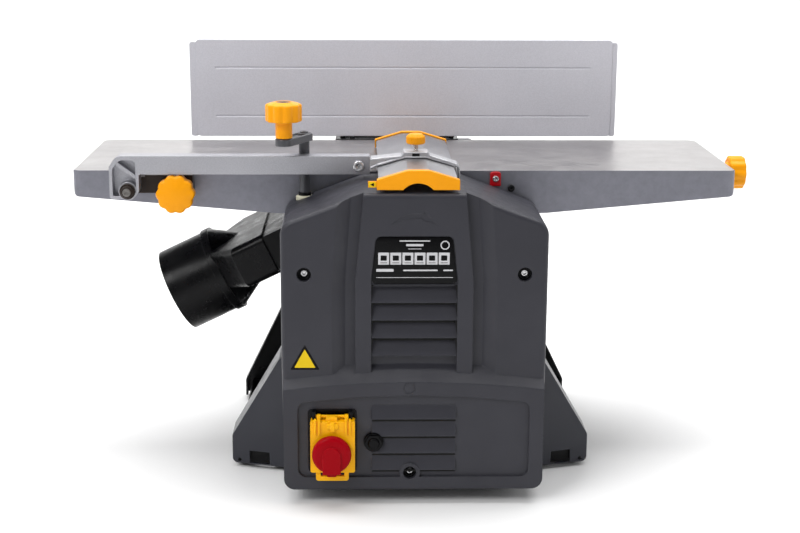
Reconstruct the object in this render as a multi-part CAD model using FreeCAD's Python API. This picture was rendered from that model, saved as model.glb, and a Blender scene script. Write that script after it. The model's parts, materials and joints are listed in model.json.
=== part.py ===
import FreeCAD, Part
import math
import os

# Bench-top surface planer and thicknesser. Millimetres. X runs along the tables (infeed at +X),
# Y runs from the operator's side (-Y) to the fence (+Y), Z is up from the floor.

V = FreeCAD.Vector
os.makedirs("parts", exist_ok=True)

# ---------------------------------------------------------------- driving dimensions
TABLE_TOP = 340.0
TABLE_HALF_WIDTH = 107.5
TABLE_PLATE = 7.0
TABLE_LEFT = -374.5
TABLE_RIGHT = 362.5
SKIRT_THICK = 7.0

CUTTER_X = 5.0
CUTTER_RADIUS = 26.5
CUTTER_Z = TABLE_TOP - CUTTER_RADIUS
BLOCK_RADIUS = 25.0
LIP_GAP = 28.0

PLATE_IN = 108.5
PLATE_THICK = 4.0
PLATE_OUT = PLATE_IN + PLATE_THICK
FLOOR_GAP = 3.0

RUN_FIT = 0.05
CLEAR = 0.3

ROLLER_SPAN = 44.0
ROLLER_RADIUS = 15.5
ROLLER_Z = 301.0
ROLLER_LEFT_X = CUTTER_X - ROLLER_SPAN
ROLLER_RIGHT_X = CUTTER_X + ROLLER_SPAN

COLUMN_X = 118.0
COLUMN_Y = 119.0
COLUMN_RADIUS = 6.0
BED_TOP = 231.0
BED_THICK = 22.0

MOTOR_Z = 72.0
MOTOR_RADIUS = 46.0
BELT_Y = (-131.0, -117.0)
CUTTER_PULLEY_RADIUS = 16.0
MOTOR_PULLEY_RADIUS = 12.0

GEAR_TEETH = 60
PINION_TEETH = 12
GEAR_MODULE = 1.0
GEAR_CENTRES = GEAR_MODULE * (GEAR_TEETH + PINION_TEETH) / 2
PINION_SHAFT = 3.0
GEAR_PLANES = ((114.5, 120.0), (121.0, 127.0), (128.0, 134.0))
CHAIN_PLANE = (136.0, 141.0)

COVER_HALF = 140.0
COVER_TOP = 337.6
COVER_BACK = -113.0
COVER_FACE = -230.0
BEZEL_FACE = -240.0
WALL = 3.0

CHUTE_ANGLE = math.radians(25.85)
PORT_RADIUS = 50.0
PORT_BORE = 47.0
PORT_LENGTH = 65.0
STOP_RING_RADIUS = 52.0
STOP_RING_LENGTH = 9.0
PORT_MOUTH = V(-274.7, 0, 175.6)

FENCE_FACE = 115.0
FENCE_HINGE = V(0, 124.0, 351.0)
ARM_PIVOT = V(-308.5, 0, 323.5)

BOLT_X = 170.0
BOLT_Y = 100.0
BOLT_RADIUS = 4.5

RAMP_RUN = V(math.cos(math.radians(14)), 0, -math.sin(math.radians(14)))
RAMP_START = (96.0, 300.0)

KNOB_Y = -50.0
KNOB_Z = 328.0

SPROCKET_TEETH = 16
SPROCKET_PITCH = 8.0
SPROCKET_RADIUS = SPROCKET_PITCH / (2 * math.sin(math.pi / SPROCKET_TEETH))

PAWL_X = -74.0
PAWL_Z = 304.0
PAWL_LENGTH = 19.5

LIFT_WHEEL_TEETH = 10
LIFT_WHEEL_RADIUS = 9.7
LIFT_WHEEL_Z = (9.5, 14.5)
COLUMN_TOP = 243.0

CRANK_TOP = 384.0
KNOB_ARM = V(-20.0, -38.0, 0)

LEDGE_SLOPE = 0.86

LOUVRE_HALF = 45.0
UPPER_LOUVRES = (240.5, 221.5, 202.0, 182.3)
UPPER_DROP = 18.2
LOWER_LOUVRES = (113.6, 94.5, 75.4, 56.3)
LOWER_DROP = 16.6

UPPER_SCREWS = ((-115.5, 252.0), (115.5, 252.0))
LOWER_SCREW = (-4.0, 35.5)
COVER_SCREWS = UPPER_SCREWS + (LOWER_SCREW,)
STAY_REACH = 205.0

GLAND = (-90.0, 40.0)

SWITCH = (-112.0, -61.0, 36.5, 106.6)
RESET = (-42.7, 70.4)
STOP = (-87.0, 63.3)
FLAP_HINGE_Z = 101.5
FLAP_HINGE_Y = -244.0

GUARD_X = 3.5
GUARD_FRONT = -226.0
GUARD_REAR = 45.0

LOCK = (-257.0, 320.3)

DECK_TOP = 341.0
GUIDES = (-67.0, 44.0)
TILT_RADIUS = 30.0
TILT_CLAMP = math.radians(45)
LEVER_DROP = math.radians(-18)

CHUTE_HALF = 86.0
CHUTE_WALL = 2.5
OUT = V(-math.cos(CHUTE_ANGLE), 0, -math.sin(CHUTE_ANGLE))
UPWARD = V(-math.sin(CHUTE_ANGLE), 0, math.cos(CHUTE_ANGLE))
PORT_START = PORT_MOUTH - OUT * PORT_LENGTH
ADAPTER_START, ADAPTER_LAP = -67.0, 5.0
SHOULDER, SHOULDER_END = -27.0, 8.0
DUCT_LOW, DUCT_HIGH, DUCT_HALF, DUCT_THROAT = -17.6, 31.4, 90.0, 38.5


# ---------------------------------------------------------------- solids from outlines
def to_space(axis, level):
    """Function that puts a 2-D point in the plane square to the axis, at that level."""
    if axis == "x":
        return lambda a, b: V(level, a, b)
    if axis == "y":
        return lambda a, b: V(a, level, b)
    return lambda a, b: V(a, b, level)


def outline(corners, place):
    """Closed wire through 2-D corners (a, b), rounded where a third value gives a radius."""
    count = len(corners)
    stretches = []
    for i, corner in enumerate(corners):
        here = V(corner[0], corner[1], 0)
        radius = corner[2] if len(corner) > 2 else 0
        if radius == 0:
            stretches.append((here, None, here))
            continue
        before = V(corners[i - 1][0], corners[i - 1][1], 0) - here
        after = V(corners[(i + 1) % count][0], corners[(i + 1) % count][1], 0) - here
        before.normalize()
        after.normalize()
        half = before.getAngle(after) / 2
        reach = radius / math.tan(half)
        middle = before + after
        middle.normalize()
        crown = here + middle * (radius / math.sin(half) - radius)
        stretches.append((here + before * reach, crown, here + after * reach))
    edges = []
    for i, (start, crown, end) in enumerate(stretches):
        if crown is not None:
            points = [place(p.x, p.y) for p in (start, crown, end)]
            edges.append(Part.Arc(*points).toShape())
        following = stretches[(i + 1) % count][0]
        if (following - end).Length > 1e-6:
            edges.append(Part.LineSegment(place(end.x, end.y), place(following.x, following.y)).toShape())
    return Part.Wire(edges)


def prism(corners, axis, low, high):
    """Outline in the plane square to the axis, drawn out from low to high along it."""
    along = {"x": V(1, 0, 0), "y": V(0, 1, 0), "z": V(0, 0, 1)}[axis] * (high - low)
    return Part.Face(outline(corners, to_space(axis, low))).extrude(along)


def rectangle(a0, a1, b0, b1, radius=0):
    return [(a0, b0, radius), (a1, b0, radius), (a1, b1, radius), (a0, b1, radius)]


def box(x0, x1, y0, y1, z0, z1):
    return Part.makeBox(x1 - x0, y1 - y0, z1 - z0, V(x0, y0, z0))


def cylinder(axis, a, b, low, high, radius):
    """Round bar along a row axis; a and b are the other two coordinates in X, Y, Z order."""
    directions = {"x": V(1, 0, 0), "y": V(0, 1, 0), "z": V(0, 0, 1)}
    return Part.makeCylinder(radius, high - low, to_space(axis, low)(a, b), directions[axis])


def ring(axis, a, b, low, high, outer, inner):
    return cylinder(axis, a, b, low, high, outer).cut(cylinder(axis, a, b, low - 1, high + 1, inner))


def fuse(*pieces):
    result = pieces[0].fuse(list(pieces[1:])) if len(pieces) > 1 else pieces[0]
    return result.removeSplitter()


def group(*pieces):
    return Part.makeCompound(list(pieces))


def placed(shape, position, axis):
    """Shape drawn about +Z from the origin, moved so that +Z lies along the axis."""
    turned = shape.copy()
    turned.Placement = FreeCAD.Placement(position, FreeCAD.Rotation(V(0, 0, 1), axis))
    return turned


def revolved(corners):
    """Outline of (radius, height) points turned about Z."""
    face = Part.Face(outline(corners, lambda a, b: V(a, 0, b)))
    return face.revolve(V(0, 0, 0), V(0, 0, 1), 360)


def save(name, shape):
    shape.exportStep("parts/" + name + ".step")


# ---------------------------------------------------------------- shared small pieces
def lobed_knob(radius, height, lobes, lobe_depth=3.0):
    """Hand knob with round lobes, standing on Z = 0, its rims rounded off."""
    edges = []
    step = 2 * math.pi / lobes
    foot = radius - 0.45 * lobe_depth
    for i in range(lobes):
        angles = [(i - 0.33) * step, i * step, (i + 0.33) * step, (i + 0.5) * step, (i + 0.67) * step]
        reach = [foot, radius, foot, radius - lobe_depth, foot]
        points = [V(r * math.cos(a), r * math.sin(a), 0) for a, r in zip(angles, reach)]
        edges.append(Part.Arc(points[0], points[1], points[2]).toShape())
        edges.append(Part.Arc(points[2], points[3], points[4]).toShape())
    body = Part.Face(Part.Wire(edges)).extrude(V(0, 0, height))
    turned = revolved([(0, 0), (radius + 0.1, 0, 3.0), (radius + 0.1, height, 4.5), (0, height)])
    return body.common(turned)


def socket_screw(radius, height):
    """Cap screw head standing on Z = 0, with a hexagon socket."""
    head = revolved([(0, 0), (radius, 0), (radius, height, 0.25 * radius), (0, height)])
    across = 0.5 * radius
    corners = [(across * math.cos(i * math.pi / 3), across * math.sin(i * math.pi / 3)) for i in range(6)]
    return head.cut(prism(corners, "z", 0.45 * height, height + 1))


def involute_gear(teeth, phase, y0, y1, x, z, bore):
    """Spur gear about Y; phase is the angle of one tooth's centre from +X towards +Z."""
    pitch = GEAR_MODULE * teeth / 2
    base = pitch * math.cos(math.radians(20))
    tip = pitch + 0.8 * GEAR_MODULE
    root = pitch - 1.15 * GEAR_MODULE
    pressure = math.tan(math.radians(20)) - math.radians(20)
    half_tooth = math.pi / (2 * teeth) - 0.14 / pitch

    def flank(radius):
        if radius <= base:
            return half_tooth + pressure
        roll = math.acos(base / radius)
        return half_tooth + pressure - (math.tan(roll) - roll)

    radii = [root, max(base, root + 0.05), (base + pitch) / 2 + 0.1, pitch, (pitch + tip) / 2, tip]
    points = []
    for i in range(teeth):
        centre = phase + 2 * math.pi * i / teeth
        points += [(r, centre - flank(r)) for r in radii]
        points += [(r, centre + flank(r)) for r in reversed(radii)]
    corners = [(x + r * math.cos(a), z + r * math.sin(a)) for r, a in points]
    return prism(corners, "y", y0, y1).cut(cylinder("y", x, z, y0 - 1, y1 + 1, bore))


def meshing_phase(driver_phase, driver_teeth, direction, driven_teeth):
    """Phase of the driven gear, so that its gap meets the driver's tooth along the line of centres."""
    slip = (driver_phase - direction) * driver_teeth / driven_teeth
    return direction + math.pi + math.pi / driven_teeth - slip


def chain_loop(x0, z0, x1, z1, inner, thick, low, high, axis):
    """Closed band round two equal wheels, as a chain or belt lies when tight."""
    across = V(-(z1 - z0), x1 - x0, 0)
    across.normalize()
    along = V(x1 - x0, z1 - z0, 0)
    along.normalize()
    place = to_space(axis, low)

    def stadium(radius):
        side = across * radius
        ends = [(x0, z0, -1), (x1, z1, 1)]
        edges = []
        for x, z, sign in ends:
            centre = V(x, z, 0)
            arc = [centre + side * sign, centre + along * radius * sign, centre - side * sign]
            edges.append(Part.Arc(*[place(p.x, p.y) for p in arc]).toShape())
        for sign in (1, -1):
            start = V(x0, z0, 0) + side * sign
            end = V(x1, z1, 0) + side * sign
            edges.append(Part.LineSegment(place(start.x, start.y), place(end.x, end.y)).toShape())
        return Part.Wire(Part.__sortEdges__(edges))

    directions = {"x": V(1, 0, 0), "y": V(0, 1, 0), "z": V(0, 0, 1)}
    rise = directions[axis] * (high - low)
    return Part.Face(stadium(inner + thick)).extrude(rise).cut(Part.Face(stadium(inner)).extrude(rise))


# ---------------------------------------------------------------- base and frame
def bolt_holes(low, high):
    return [cylinder("z", x, y, low, high, BOLT_RADIUS) for x in (-BOLT_X, BOLT_X) for y in (-BOLT_Y, BOLT_Y)]


def tray_outline(inset):
    """Plan of the tray, drawn inwards by inset: a rectangle with a tongue under each cover."""
    side, front, back = 198 - inset, 125 - inset, 127.5 - inset
    tongue, reach = 133.5 - inset, 134 - inset
    left = [(-side, -front, 4), (-tongue, -front), (-tongue, -reach, 4)]
    right = [(tongue, -reach, 4), (tongue, -front), (side, -front, 4)]
    rear = [(side, back, 4), (tongue, back), (tongue, reach, 4), (-tongue, reach, 4), (-tongue, back),
            (-side, back, 4)]
    return left + right + rear


def base_tray():
    tray = prism(tray_outline(0), "z", FLOOR_GAP, 16.5)
    rim = prism([(-198, -125, 4), (198, -125, 4), (198, 127.5, 4), (-198, 127.5, 4)], "z", 16, 20)
    inside = prism(tray_outline(1.8), "z", FLOOR_GAP + 2, 21)
    openings = [box(-139.5, 139.5, -140, -112.8, 16.5, 21), box(-133.5, 133.5, 112.8, 140, 16.5, 21)]
    tray = fuse(tray, rim).cut([inside] + openings)
    rails = [box(-80, 131, -112.8, -106, 4, 20), box(-131, 80, 106, 112.8, 4, 20)]
    cups = [cylinder("z", x, y, 4, 9, 9) for x, y in columns()]
    tray = fuse(tray, *rails, *cups)
    seats = [cylinder("z", x, y, FLOOR_GAP + 2, 21, COLUMN_RADIUS + RUN_FIT) for x, y in columns()]
    return tray.cut(seats + bolt_holes(0, 10))


def columns():
    """Centres of the crank column, the driven column and the two plain guide columns."""
    return [(-COLUMN_X, -COLUMN_Y), (COLUMN_X, COLUMN_Y), (COLUMN_X, -COLUMN_Y), (-COLUMN_X, COLUMN_Y)]


def rubber_feet():
    places = [(x, y) for x in (-BOLT_X, BOLT_X) for y in (-BOLT_Y, BOLT_Y)]
    return group(*[ring("z", x, y, 0, FLOOR_GAP, 14, BOLT_RADIUS) for x, y in places])


def ramp_line(distance, drop):
    """Point on the sliding line of the infeed table, pushed down square to it by drop."""
    x = RAMP_START[0] + distance * RAMP_RUN.x + drop * RAMP_RUN.z
    z = RAMP_START[1] + distance * RAMP_RUN.z - drop * RAMP_RUN.x
    return (x, z)


def side_plate(front):
    right = [(150, 20, 3), (150, 88, 8), (138, 133, 8), (136, 290, 8), (124, 305.5, 8), (53, 333, 8)]
    edge = right + [(-x, z, radius) for x, z, radius in reversed(right)]
    low, high = (-PLATE_OUT, -PLATE_IN) if front else (PLATE_IN, PLATE_OUT)
    plate = prism(edge, "y", low, high)
    holes = [cylinder("y", CUTTER_X, CUTTER_Z, low - 1, high + 1, 16)]
    for x in (ROLLER_LEFT_X, ROLLER_RIGHT_X):
        holes.append(prism(rectangle(x - 11, x + 11, 288, 316, 2), "y", low - 1, high + 1))
    for x in (-COLUMN_X, COLUMN_X):
        holes.append(prism(rectangle(x - 8.5, x + 8.5, 141, 236, 4), "y", low - 1, high + 1))
    corners = [ramp_line(-4, 0.05), ramp_line(36, 0.05), ramp_line(36, 8), ramp_line(-4, 8)]
    ramp = prism(corners, "y", 102.5, 109)
    if not front:
        return fuse(plate.cut(holes), ramp, *gear_axles())
    holes.append(cylinder("y", CUTTER_X, MOTOR_Z, low - 1, high + 1, 12))
    holes.append(cylinder("z", -COLUMN_X, -COLUMN_Y, 300, 330, 10.1))
    return fuse(plate.cut(holes), ramp.mirror(V(0, 0, 0), V(0, 1, 0)), *cover_stays())


def cover_stays():
    """Arms that reach out from the front side plate to the cover's screws, beside the columns."""
    stays = []
    for x, z in UPPER_SCREWS:
        sign = math.copysign(1, x)
        arm = box(*sorted((sign * 98, sign * 106)), -STAY_REACH, -PLATE_IN - 1, z - 5, z + 5)
        pad = box(*sorted((sign * 98, sign * 121)), -STAY_REACH, -STAY_REACH + 5, z - 5, z + 5)
        stays.append(fuse(arm, pad))
    x, z = LOWER_SCREW
    stays.append(box(x - 5, x + 5, -STAY_REACH, -PLATE_IN - 1, z - 5, z + 5))
    holes = [cylinder("y", x, z, -STAY_REACH - 1, -STAY_REACH + 16, 2.9) for x, z in COVER_SCREWS]
    return [stay.cut(holes) for stay in stays]


def gear_axles():
    """Stub axles of the two compound gears, standing on the rear side plate."""
    first, second = gear_centres()
    axles = []
    for x, z in (first, second):
        axles.append(cylinder("y", x, z, PLATE_IN + 1, GEAR_PLANES[2][1] + 1.2, PINION_SHAFT))
        axles.append(cylinder("y", x, z, PLATE_IN + 1, GEAR_PLANES[0][0] - 0.5, 7))
    return axles


def cross_bars():
    bars = []
    for x in (-141, 141):
        for z in (40, 112):
            bars.append(box(x - 6, x + 6, -PLATE_IN, PLATE_IN, z, z + 12))
    bars.append(cylinder("y", PAWL_X, PAWL_Z, -PLATE_IN, PLATE_IN, 4))
    nut_bar = box(66.5, 78, -PLATE_IN, PLATE_IN, 311, 320.5)
    fork = box(68, 76, KNOB_Y - 12, KNOB_Y + 12, 320, 329)
    fork = fork.cut(box(67, 77, KNOB_Y - 5, KNOB_Y + 5, 320.8, 330))
    bars.append(fuse(nut_bar, fork))
    return group(*bars)


# ---------------------------------------------------------------- tables
def table_profile(lip, far, direction):
    """Side outline of a table: thin over the rollers, deep beside the frame, tapering to its end."""
    thin, deep, low = 325.0, 292.0, 311.0
    foot = ramp_line(36, 0)
    return [(lip, TABLE_TOP, 1), (lip, thin), (82 * direction, thin), (96 * direction, RAMP_START[1]),
            (foot[0] * direction, foot[1]), (152 * direction, deep, 20), (far, low, 6), (far, TABLE_TOP, 2)]


def table(lip, far, direction):
    solid = prism(table_profile(lip, far, direction), "y", -TABLE_HALF_WIDTH, TABLE_HALF_WIDTH)
    corners = [(lip, -TABLE_HALF_WIDTH), (far, -TABLE_HALF_WIDTH, 9), (far, TABLE_HALF_WIDTH, 14),
               (lip, TABLE_HALF_WIDTH)]
    solid = solid.common(prism(corners, "z", 280, 350))
    inner_end = far - SKIRT_THICK * direction
    lower = TABLE_TOP - TABLE_PLATE
    hollow = [(94 * direction, 270), (inner_end, 270), (inner_end, lower), (94 * direction, lower)]
    inner_half = TABLE_HALF_WIDTH - SKIRT_THICK
    cavity = prism(hollow, "y", -inner_half, inner_half)
    ribs = []
    for distance in (150, 220, 290):
        x = distance * direction
        ribs.append(box(x - 3, x + 3, -inner_half, inner_half, 312, lower))
    x0, x1 = sorted((94 * direction, inner_end))
    ribs.append(box(x0, x1, -3, 3, 316, lower))
    return solid.cut(cavity.cut(ribs))


def outfeed_table():
    shape = table(CUTTER_X - LIP_GAP, TABLE_LEFT, -1)
    screws = [cylinder("y", x, 324, 100, 108, 3.2) for x in (-228, -157)]
    return shape.cut(screws)


def infeed_table():
    shape = table(CUTTER_X + LIP_GAP, TABLE_RIGHT, 1)
    rod_way = [cylinder("x", KNOB_Y, KNOB_Z, 65, 364, 4 + RUN_FIT)]
    for distance in (150, 220, 290):
        rod_way.append(cylinder("x", KNOB_Y, KNOB_Z, distance - 4, distance + 4, 7))
    return shape.cut(rod_way).cut(box(30, 93, KNOB_Y - 15, KNOB_Y + 15, 320, 333))


def depth_knob():
    grip = placed(lobed_knob(19, 20, 10, 2.4), V(366.5, KNOB_Y, KNOB_Z), V(1, 0, 0))
    collar = cylinder("x", KNOB_Y, KNOB_Z, 362.8, 367, 11)
    rod = cylinder("x", KNOB_Y, KNOB_Z, 66, 367, 4)
    return fuse(grip, collar, rod)


def depth_pointer():
    """Red block screwed to the infeed table's side, and the small stop beside it."""
    low, high, face = 323.0, 339.0, -110.7
    corners = [(87.3, low, 2), (99.3, low, 2), (99.3, 334, 2), (97, high, 2), (89.6, high, 2), (87.3, 334, 2)]
    body = prism(corners, "y", face, -TABLE_HALF_WIDTH)
    screw = placed(socket_screw(3, 2), V(93.3, face, 331), V(0, -1, 0))
    stop = placed(socket_screw(3.4, 4), V(111, -TABLE_HALF_WIDTH, 320.5), V(0, -1, 0))
    return group(fuse(body, screw), stop)


# ---------------------------------------------------------------- cutterblock and feed
def around_cutter(shape, index):
    turned = shape.copy()
    turned.rotate(V(CUTTER_X, 0, CUTTER_Z), V(0, 1, 0), 120 * index + 40)
    return turned


def cutterblock():
    block = cylinder("y", CUTTER_X, CUTTER_Z, -104, 104, BLOCK_RADIUS)
    journals = [cylinder("y", CUTTER_X, CUTTER_Z, -114, 114, 8),
                cylinder("y", CUTTER_X, CUTTER_Z, -134, -113, 6),
                cylinder("y", CUTTER_X, CUTTER_Z, 113, 127.4, PINION_SHAFT)]
    block = fuse(block, *journals)
    slot = box(CUTTER_X - 3, CUTTER_X + 7, -105, 105, CUTTER_Z + 14, CUTTER_Z + 30)
    return block.cut([around_cutter(slot, i) for i in range(3)])


def cutter_knives():
    blade = prism([(CUTTER_X - 2.98, CUTTER_Z + 14.1), (CUTTER_X - 0.2, CUTTER_Z + 14.1),
                   (CUTTER_X - 0.2, CUTTER_Z + 23.6), (CUTTER_X - 2.98, CUTTER_Z + 26.3)], "y", -103.8, 103.8)
    return group(*[around_cutter(blade, i) for i in range(3)])


def cutter_wedges():
    wedge = prism([(CUTTER_X - 0.1, CUTTER_Z + 14.1), (CUTTER_X + 6.9, CUTTER_Z + 14.1),
                   (CUTTER_X + 6.9, CUTTER_Z + 20), (CUTTER_X + 4.5, CUTTER_Z + 23),
                   (CUTTER_X - 0.1, CUTTER_Z + 22)], "y", -103.8, 103.8)
    screws = [placed(prism([(3.2 * math.cos(k * math.pi / 3), 3.2 * math.sin(k * math.pi / 3))
                            for k in range(6)], "z", 0, 5), V(CUTTER_X + 2.6, y, CUTTER_Z + 19), V(0, 0, 1))
              for y in (-84, -42, 0, 42, 84)]
    wedge = wedge.cut(screws)
    return group(*[around_cutter(wedge, i) for i in range(3)])


def grooved_pulley(z, radius, bore):
    """Poly-V pulley: a drum with round grooves between two low flanges."""
    low, high = BELT_Y
    pulley = ring("y", CUTTER_X, z, low, high, radius, bore)
    grooves = []
    for i in range(5):
        centre = low + 2.8 + i * 2.1
        grooves.append(ring("y", CUTTER_X, z, centre - 0.5, centre + 0.5, radius + 1, radius - 1.4))
    return pulley.cut(grooves)


def drive_belt():
    """Belt with its inner face just clear of both pulleys."""
    gap = CLEAR
    rise = CUTTER_Z - MOTOR_Z
    lean = math.asin((CUTTER_PULLEY_RADIUS - MOTOR_PULLEY_RADIUS) / rise)

    def loop(extra):
        top, low = CUTTER_PULLEY_RADIUS + gap + extra, MOTOR_PULLEY_RADIUS + gap + extra
        side, drop = math.cos(lean), -math.sin(lean)
        place = to_space("y", BELT_Y[0] + 1)

        def on(radius, z, sign):
            return place(CUTTER_X + sign * radius * side, z + radius * drop)

        edges = [Part.Arc(on(top, CUTTER_Z, -1), place(CUTTER_X, CUTTER_Z + top), on(top, CUTTER_Z, 1)),
                 Part.LineSegment(on(top, CUTTER_Z, 1), on(low, MOTOR_Z, 1)),
                 Part.Arc(on(low, MOTOR_Z, 1), place(CUTTER_X, MOTOR_Z - low), on(low, MOTOR_Z, -1)),
                 Part.LineSegment(on(low, MOTOR_Z, -1), on(top, CUTTER_Z, -1))]
        return Part.Face(Part.Wire([e.toShape() for e in edges])).extrude(V(0, BELT_Y[1] - BELT_Y[0] - 2, 0))

    return loop(3.0).cut(loop(0))


def shaft_bearings():
    """Ball bearings of the cutterblock and the four roller blocks, all set in the side plates."""
    pieces = []
    for low, high in ((-PLATE_OUT, -PLATE_IN + 3), (PLATE_IN - 3, PLATE_OUT)):
        pieces.append(ring("y", CUTTER_X, CUTTER_Z, low, high, 15.97, 8 + RUN_FIT))
    for x in (ROLLER_LEFT_X, ROLLER_RIGHT_X):
        for low, high in ((-PLATE_OUT, -PLATE_IN + 5), (PLATE_IN - 5, PLATE_OUT)):
            block = prism(rectangle(x - 10.9, x + 10.9, 288.2, 313, 1.9), "y", low, high)
            pieces.append(block.cut(cylinder("y", x, ROLLER_Z, low - 1, high + 1, 6 + RUN_FIT)))
    return group(*pieces)


def gear_centres():
    """Centres of the first and second compound gears, (x, z)."""
    first = (CUTTER_X, CUTTER_Z - GEAR_CENTRES)
    gap = V(ROLLER_RIGHT_X - first[0], 0, ROLLER_Z - first[1])
    half = gap.Length / 2
    height = math.sqrt(GEAR_CENTRES ** 2 - half ** 2)
    unit = V(gap).normalize()
    second = (first[0] + unit.x * half + unit.z * height, first[1] + unit.z * half - unit.x * height)
    return first, second


def direction(start, end):
    return math.atan2(end[1] - start[1], end[0] - start[0])


def feed_gears():
    """Cutter pinion, two compound gears and the roller gear, in mesh at rest."""
    first, second = gear_centres()
    cutter, roller = (CUTTER_X, CUTTER_Z), (ROLLER_RIGHT_X, ROLLER_Z)
    inner, middle, outer = GEAR_PLANES
    phase = 0.0
    bore = PINION_SHAFT + RUN_FIT
    pinion = involute_gear(PINION_TEETH, phase, *middle, *cutter, PINION_SHAFT + 0.02)
    phase = meshing_phase(phase, PINION_TEETH, direction(cutter, first), GEAR_TEETH)
    wheel_one = involute_gear(GEAR_TEETH, phase, *middle, *first, bore)
    small_one = involute_gear(PINION_TEETH, phase, middle[1] - 0.2, outer[1], *first, bore)
    phase = meshing_phase(phase, PINION_TEETH, direction(first, second), GEAR_TEETH)
    wheel_two = involute_gear(GEAR_TEETH, phase, *outer, *second, bore)
    small_two = involute_gear(PINION_TEETH, phase, *inner, *second, bore)
    hub_two = ring("y", second[0], second[1], inner[1] - 0.2, outer[0] + 0.2, 4.6, bore)
    phase = meshing_phase(phase, PINION_TEETH, direction(second, roller), GEAR_TEETH)
    wheel_three = involute_gear(GEAR_TEETH, phase, *inner, *roller, 4 + 0.02)
    save("cutter_pinion", pinion)
    save("gear_first", fuse(wheel_one, small_one))
    save("gear_second", fuse(wheel_two, small_two, hub_two))
    return wheel_three


def sprocket(x, z, low, high, teeth, radius, bore, axis):
    """Chain wheel: a disc with a round gap for every roller of the chain."""
    wheel = ring(axis, x, z, low, high, radius, bore)
    gaps = []
    for i in range(teeth):
        angle = 2 * math.pi * (i + 0.5) / teeth
        gaps.append(cylinder(axis, x + (radius + 0.8) * math.cos(angle), z + (radius + 0.8) * math.sin(angle),
                             low - 1, high + 1, 2.4))
    return wheel.cut(gaps)


def feed_roller(x):
    low, high = -100, 100
    drum = cylinder("y", x, ROLLER_Z, low, high, ROLLER_RADIUS)
    grooves = []
    for i in range(24):
        angle = 2 * math.pi * i / 24
        grooves.append(cylinder("y", x + (ROLLER_RADIUS + 0.5) * math.cos(angle),
                                ROLLER_Z + (ROLLER_RADIUS + 0.5) * math.sin(angle), low - 1, high + 1, 1.1))
    drum = drum.cut(grooves)
    return fuse(drum, cylinder("y", x, ROLLER_Z, -PLATE_OUT, PLATE_OUT, 6),
                cylinder("y", x, ROLLER_Z, -PLATE_OUT, CHAIN_PLANE[1] + 1, 4))


def kickback_pawls():
    pawls = []
    lean = math.radians(-75)
    tip = (PAWL_X + PAWL_LENGTH * math.cos(lean), PAWL_Z + PAWL_LENGTH * math.sin(lean))
    for i in range(15):
        y = -91 + i * 13
        plate = prism([(PAWL_X - 7, PAWL_Z + 6.5, 3), (PAWL_X - 7, PAWL_Z - 6, 2), tip,
                       (PAWL_X + 7, PAWL_Z - 7, 2), (PAWL_X + 7, PAWL_Z + 6.5, 3)], "y", y - 4, y + 4)
        pawls.append(plate.cut(cylinder("y", PAWL_X, PAWL_Z, y - 5, y + 5, 4 + RUN_FIT)))
    return group(*pawls)


# ---------------------------------------------------------------- motor
def motor_housing():
    low, high = -105.0, 20.0
    shell = ring("y", CUTTER_X, MOTOR_Z, low, high, MOTOR_RADIUS, MOTOR_RADIUS - 3)
    caps = [ring("y", CUTTER_X, MOTOR_Z, low, low + 4, MOTOR_RADIUS, 5.5),
            ring("y", CUTTER_X, MOTOR_Z, high - 4, high, MOTOR_RADIUS, 5 + RUN_FIT)]
    flange = box(CUTTER_X - 50, CUTTER_X + 50, -PLATE_IN, low, MOTOR_Z - 50, MOTOR_Z + 50)
    flange = flange.cut(cylinder("y", CUTTER_X, MOTOR_Z, -PLATE_IN - 1, low + 1, 12))
    vents = []
    for end in (low + 12, high - 26):
        for i in range(12):
            slot = box(CUTTER_X - 3, CUTTER_X + 3, end, end + 14, MOTOR_Z + MOTOR_RADIUS - 6, MOTOR_Z + 60)
            slot.rotate(V(CUTTER_X, 0, MOTOR_Z), V(0, 1, 0), 30 * i)
            vents.append(slot)
    return fuse(shell, *caps, flange).cut(vents)


def motor_shaft():
    """Rotor, its shaft and the cooling fan."""
    shaft = cylinder("y", CUTTER_X, MOTOR_Z, -132, 19, 5)
    rotor = cylinder("y", CUTTER_X, MOTOR_Z, -62, -4, 26)
    hub = cylinder("y", CUTTER_X, MOTOR_Z, -94, -80, 12)
    blades = []
    for i in range(9):
        blade = box(CUTTER_X - 1.2, CUTTER_X + 1.2, -94, -82, MOTOR_Z + 8, MOTOR_Z + 38)
        blade.rotate(V(CUTTER_X, 0, MOTOR_Z), V(0, 1, 0), 40 * i)
        blades.append(blade)
    disc = cylinder("y", CUTTER_X, MOTOR_Z, -82, -80, 38)
    return fuse(shaft, rotor, hub, disc, *blades)


# ---------------------------------------------------------------- thicknessing bed and its lift
def thicknesser_bed():
    plate = prism([(-135, BED_TOP - 3, 2), (-128, BED_TOP, 2), (128, BED_TOP, 2), (135, BED_TOP - 3, 2),
                   (135, BED_TOP - 8, 2), (-135, BED_TOP - 8, 2)], "y", -104, 104)
    low = BED_TOP - BED_THICK
    ribs = [box(-128, 128, y - 3, y + 3, low, BED_TOP - 7) for y in (-98, -33, 33, 98)]
    ribs += [box(x - 3, x + 3, -100, 100, low, BED_TOP - 7) for x in (-125, -62, 0, 62, 125)]
    lugs = []
    for x, y in columns():
        y0, y1 = sorted((math.copysign(98, y), y))
        lugs.append(box(x - 7.5, x + 7.5, y0, y1, low, BED_TOP - 2))
        lugs.append(cylinder("z", x, y, low, BED_TOP - 2, 9.5))
    bed = fuse(plate, *ribs, *lugs)
    return bed.cut([cylinder("z", x, y, low - 1, BED_TOP + 1, COLUMN_RADIUS + RUN_FIT) for x, y in columns()])


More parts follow.
